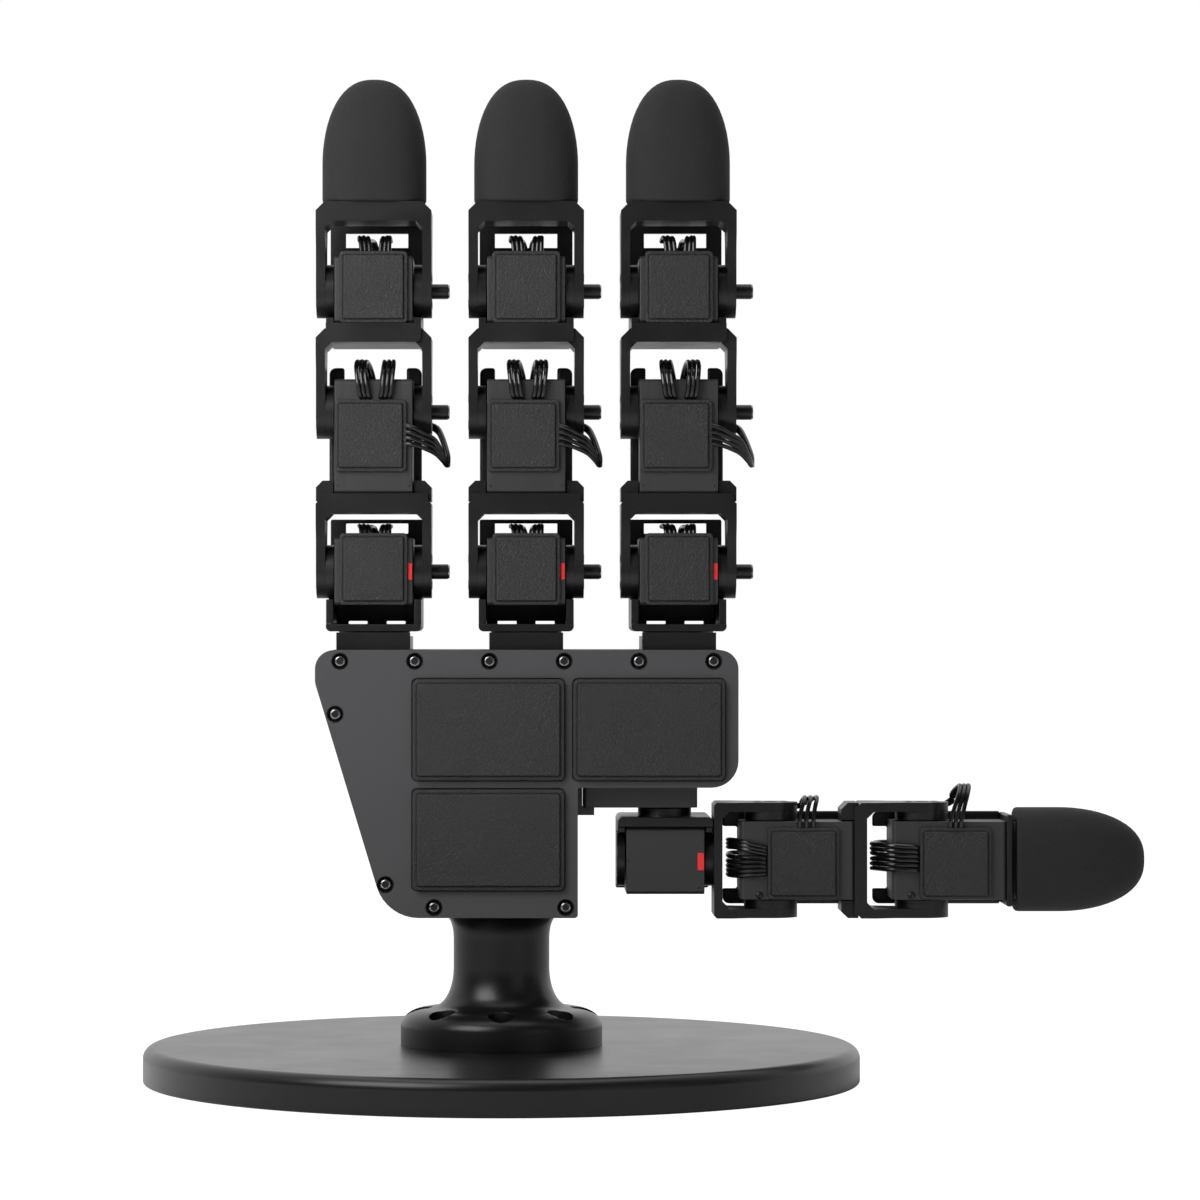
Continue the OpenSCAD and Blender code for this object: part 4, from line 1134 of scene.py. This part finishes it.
@dataclass
class Finger(Digit):
    """One of the three fingers, each link with its servo, cage, pads and leads."""

    knuckle_z: float = 152.5
    bend_z: float = 200.3
    tip_z: float = 236.5
    pin_proud: float = 5.3
    foot_screw_x: float = 10.6
    foot_screw_drop: float = 22.3
    mark_half_h: float = 2.5

    def place(self, z: float) -> Matrix:
        """The frame of a joint on the finger."""
        return Matrix.Translation((self.middle * MM, 0.0, z * MM))

    def fork(self, part: str, body: str, z: float) -> None:
        """A fork with its horn, idler, pin and the screws that hold them."""
        pin_end = (self.middle + self.arm_out + self.pin_proud) * MM
        collar = self.repeater.rows("pin_end", self.heads["pin"], [(pin_end, 0.0, z * MM)], (1, 0, 0),
                                    Surface.STEEL)
        self.frame(part, body, [collar, *self.arm_screws((self.middle, 0.0, z))])

    def build(self) -> None:
        """Makes every piece of the finger."""
        swivel, knuckle, middle, tip = (self.body(part) for part in ("swivel", "knuckle", "middle", "tip"))
        servo = Servo(self.repeater)
        right = self.middle + servo.half_w
        mark = servo.mark(right - 1.45, right - 0.1, self.knuckle_z - self.mark_half_h,
                          self.knuckle_z + self.mark_half_h)
        foot = [(self.middle + side * self.foot_screw_x, self.bend_z - self.foot_screw_drop)
                for side in (-1, 1)]
        self.frame("cradle", swivel)
        self.drive("knuckle", swivel, Link.KNUCKLE, self.place(self.knuckle_z), [mark])
        self.fork("knuckle_fork", knuckle, self.knuckle_z)
        self.drive("bend", knuckle, Link.BEND, self.place(self.bend_z),
                   [servo.face_screws(self.heads["dot"], foot, -10.0)])
        self.fork("middle_fork", middle, self.bend_z)
        self.drive("tip", middle, Link.TIP, self.place(self.tip_z))
        self.fork("tip_fork", tip, self.tip_z)
        low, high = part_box(f"{self.name}_fingertip")
        self.rubber((high[2] - low[2]) / MM, Matrix.Translation((self.middle * MM, 0, low[2])), tip)


def tip_form(name: str, length: float, place: Matrix, width: float = 31.2, depth: float = 24.0,
             rounded: float = 25.5) -> bpy.types.Mesh:
    """A fingertip: straight at the foot, then rounded off to its end.

    Args:
        name: The mesh's name.
        length: From foot to end, in millimetres.
        place: Where it goes.
        width: Full width.
        depth: Full depth.
        rounded: Length of the rounded end.

    Returns:
        The mesh.
    """
    count = 72
    straight = length - rounded

    def ring(z: float, k: float) -> list[tuple[float, float, float]]:
        """One ring of the squared oval."""
        points = []
        for i in range(count):
            c, s = math.cos(2 * math.pi * i / count), math.sin(2 * math.pi * i / count)
            points.append((width / 2 * k * math.copysign(abs(c) ** 0.8, c) * MM,
                           depth / 2 * k * math.copysign(abs(s) ** 0.8, s) * MM, z * MM))
        return points

    levels = [(0.0, 0.95), (0.15, 0.975), (0.5, 0.992), (1.0, 1.0), (straight / 2, 1.0)]
    levels += [(straight + rounded * math.sin(math.radians(a)), math.cos(math.radians(a)) ** 0.82)
               for a in (0, 5, 10, 16, 22, 28, 34, 40, 46, 52, 58, 64, 70, 75, 79, 83, 86, 88, 89.3)]
    mesh = loft(name, [ring(z, k) for z, k in levels], place)
    return painted(mesh, Surface.RUBBER)


@dataclass
class Thumb(Digit):
    """The thumb: yaw cradle, roll drive and fork, bend drive, tip drive and rubber tip."""

    across: int = 2
    case_edge: float = 0.7
    fork_edge: float = 0.3
    bend_x: float = 80.68
    tip_x: float = 125.98
    case_screw_back: float = 3.8
    case_screw_drop: float = 10.3

    def place(self, x: float) -> Matrix:
        """The frame of a joint: the link's own Z runs along -X, and its X along Z."""
        turn = Matrix(((0, 0, -1, 0), (0, 1, 0, 0), (1, 0, 0, 0), (0, 0, 0, 1)))
        return Matrix.Translation((x * MM, 0.0, self.middle * MM)) @ turn

    def roll_drive(self, body: str) -> None:
        """The roll servo, with a screw in its face, one in its idler and the red mark."""
        servo = Servo(self.repeater)
        parts = [refined("thumb_roll_servo", Surface.CASE, 0.3),
                 servo.face_screws(self.heads["dot"], [(58.9, 58.4), (37.9, 66.3)], -9.5),
                 servo.mark(58.5, 60.45, 63.4, 68.6)]
        new_piece("thumb_roll_servo_case", joined("roll", parts), Surface.CASE, body,
                  ["thumb_roll_servo"])

    def build(self) -> None:
        """Makes every piece of the thumb."""
        yaw, roll, bend, tip = (self.body(part) for part in ("yaw", "roll", "bend", "tip"))
        self.frame("cradle", yaw)
        self.roll_drive(yaw)
        self.frame("roll_fork", roll, self.arm_screws((self.bend_x, 0.0, self.middle)), self.fork_edge)
        for part, x, body, kind in (("bend", self.bend_x, bend, Link.THUMB_BEND),
                                    ("tip", self.tip_x, tip, Link.THUMB_TIP)):
            corner = [(x - self.case_screw_back, self.middle - self.case_screw_drop)]
            screw = Servo(self.repeater).face_screws(self.heads["case"], corner, -10.0)
            self.drive(part, body, kind, self.place(x), [screw])
        self.frame("bend_fork", bend, self.arm_screws((self.tip_x, 0.0, self.middle)), self.fork_edge)
        low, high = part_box("thumb_fingertip")
        turn = Matrix(((0, 0, 1, 0), (0, 1, 0, 0), (-1, 0, 0, 0), (0, 0, 0, 1)))
        self.rubber((high[0] - low[0]) / MM, Matrix.Translation((low[0], 0, self.middle * MM)) @ turn, tip)


# ---- Putting it together -----------------------------------------------------------------------


def main() -> None:
    """Builds the studio and every piece of the hand."""
    logging.basicConfig(level=logging.INFO, format="%(name)s: %(message)s")
    FRAME.update(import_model())
    Studio().build()
    repeater = Repeater()
    heads = {
        "case": screw_head("case_head", [(1.1, -0.4), (1.1, 0.15), (0.95, 0.4), (0.6, 0.55)], 0.7, 0.35),
        "dot": screw_head("dot_head", [(0.4, -0.3), (0.4, 0.03), (0.3, 0.08)], 0.3, 0.3),
        "pin": screw_head("pin_end", [(2.05, -0.55), (2.05, -0.12), (1.85, 0.0)], 2.0, 0.9),
        "flat": screw_head("flat_head", [(1.5, -0.3), (1.5, 0.0), (1.3, 0.08)], 1.3, 0.5),
    }
    stand = Stand()
    stand.disc()
    stand.column()
    palm = Palm()
    palm.shell()
    palm.skins()
    palm.drives()
    palm.screws(repeater, stand.bolts(repeater))
    for name, x in zip(FINGERS, (-38.1, 7.4, 52.9)):
        Finger(name, x, repeater, heads).build()
    Thumb("thumb", 66.3, repeater, heads).build()


if __name__ == "__main__":
    main()
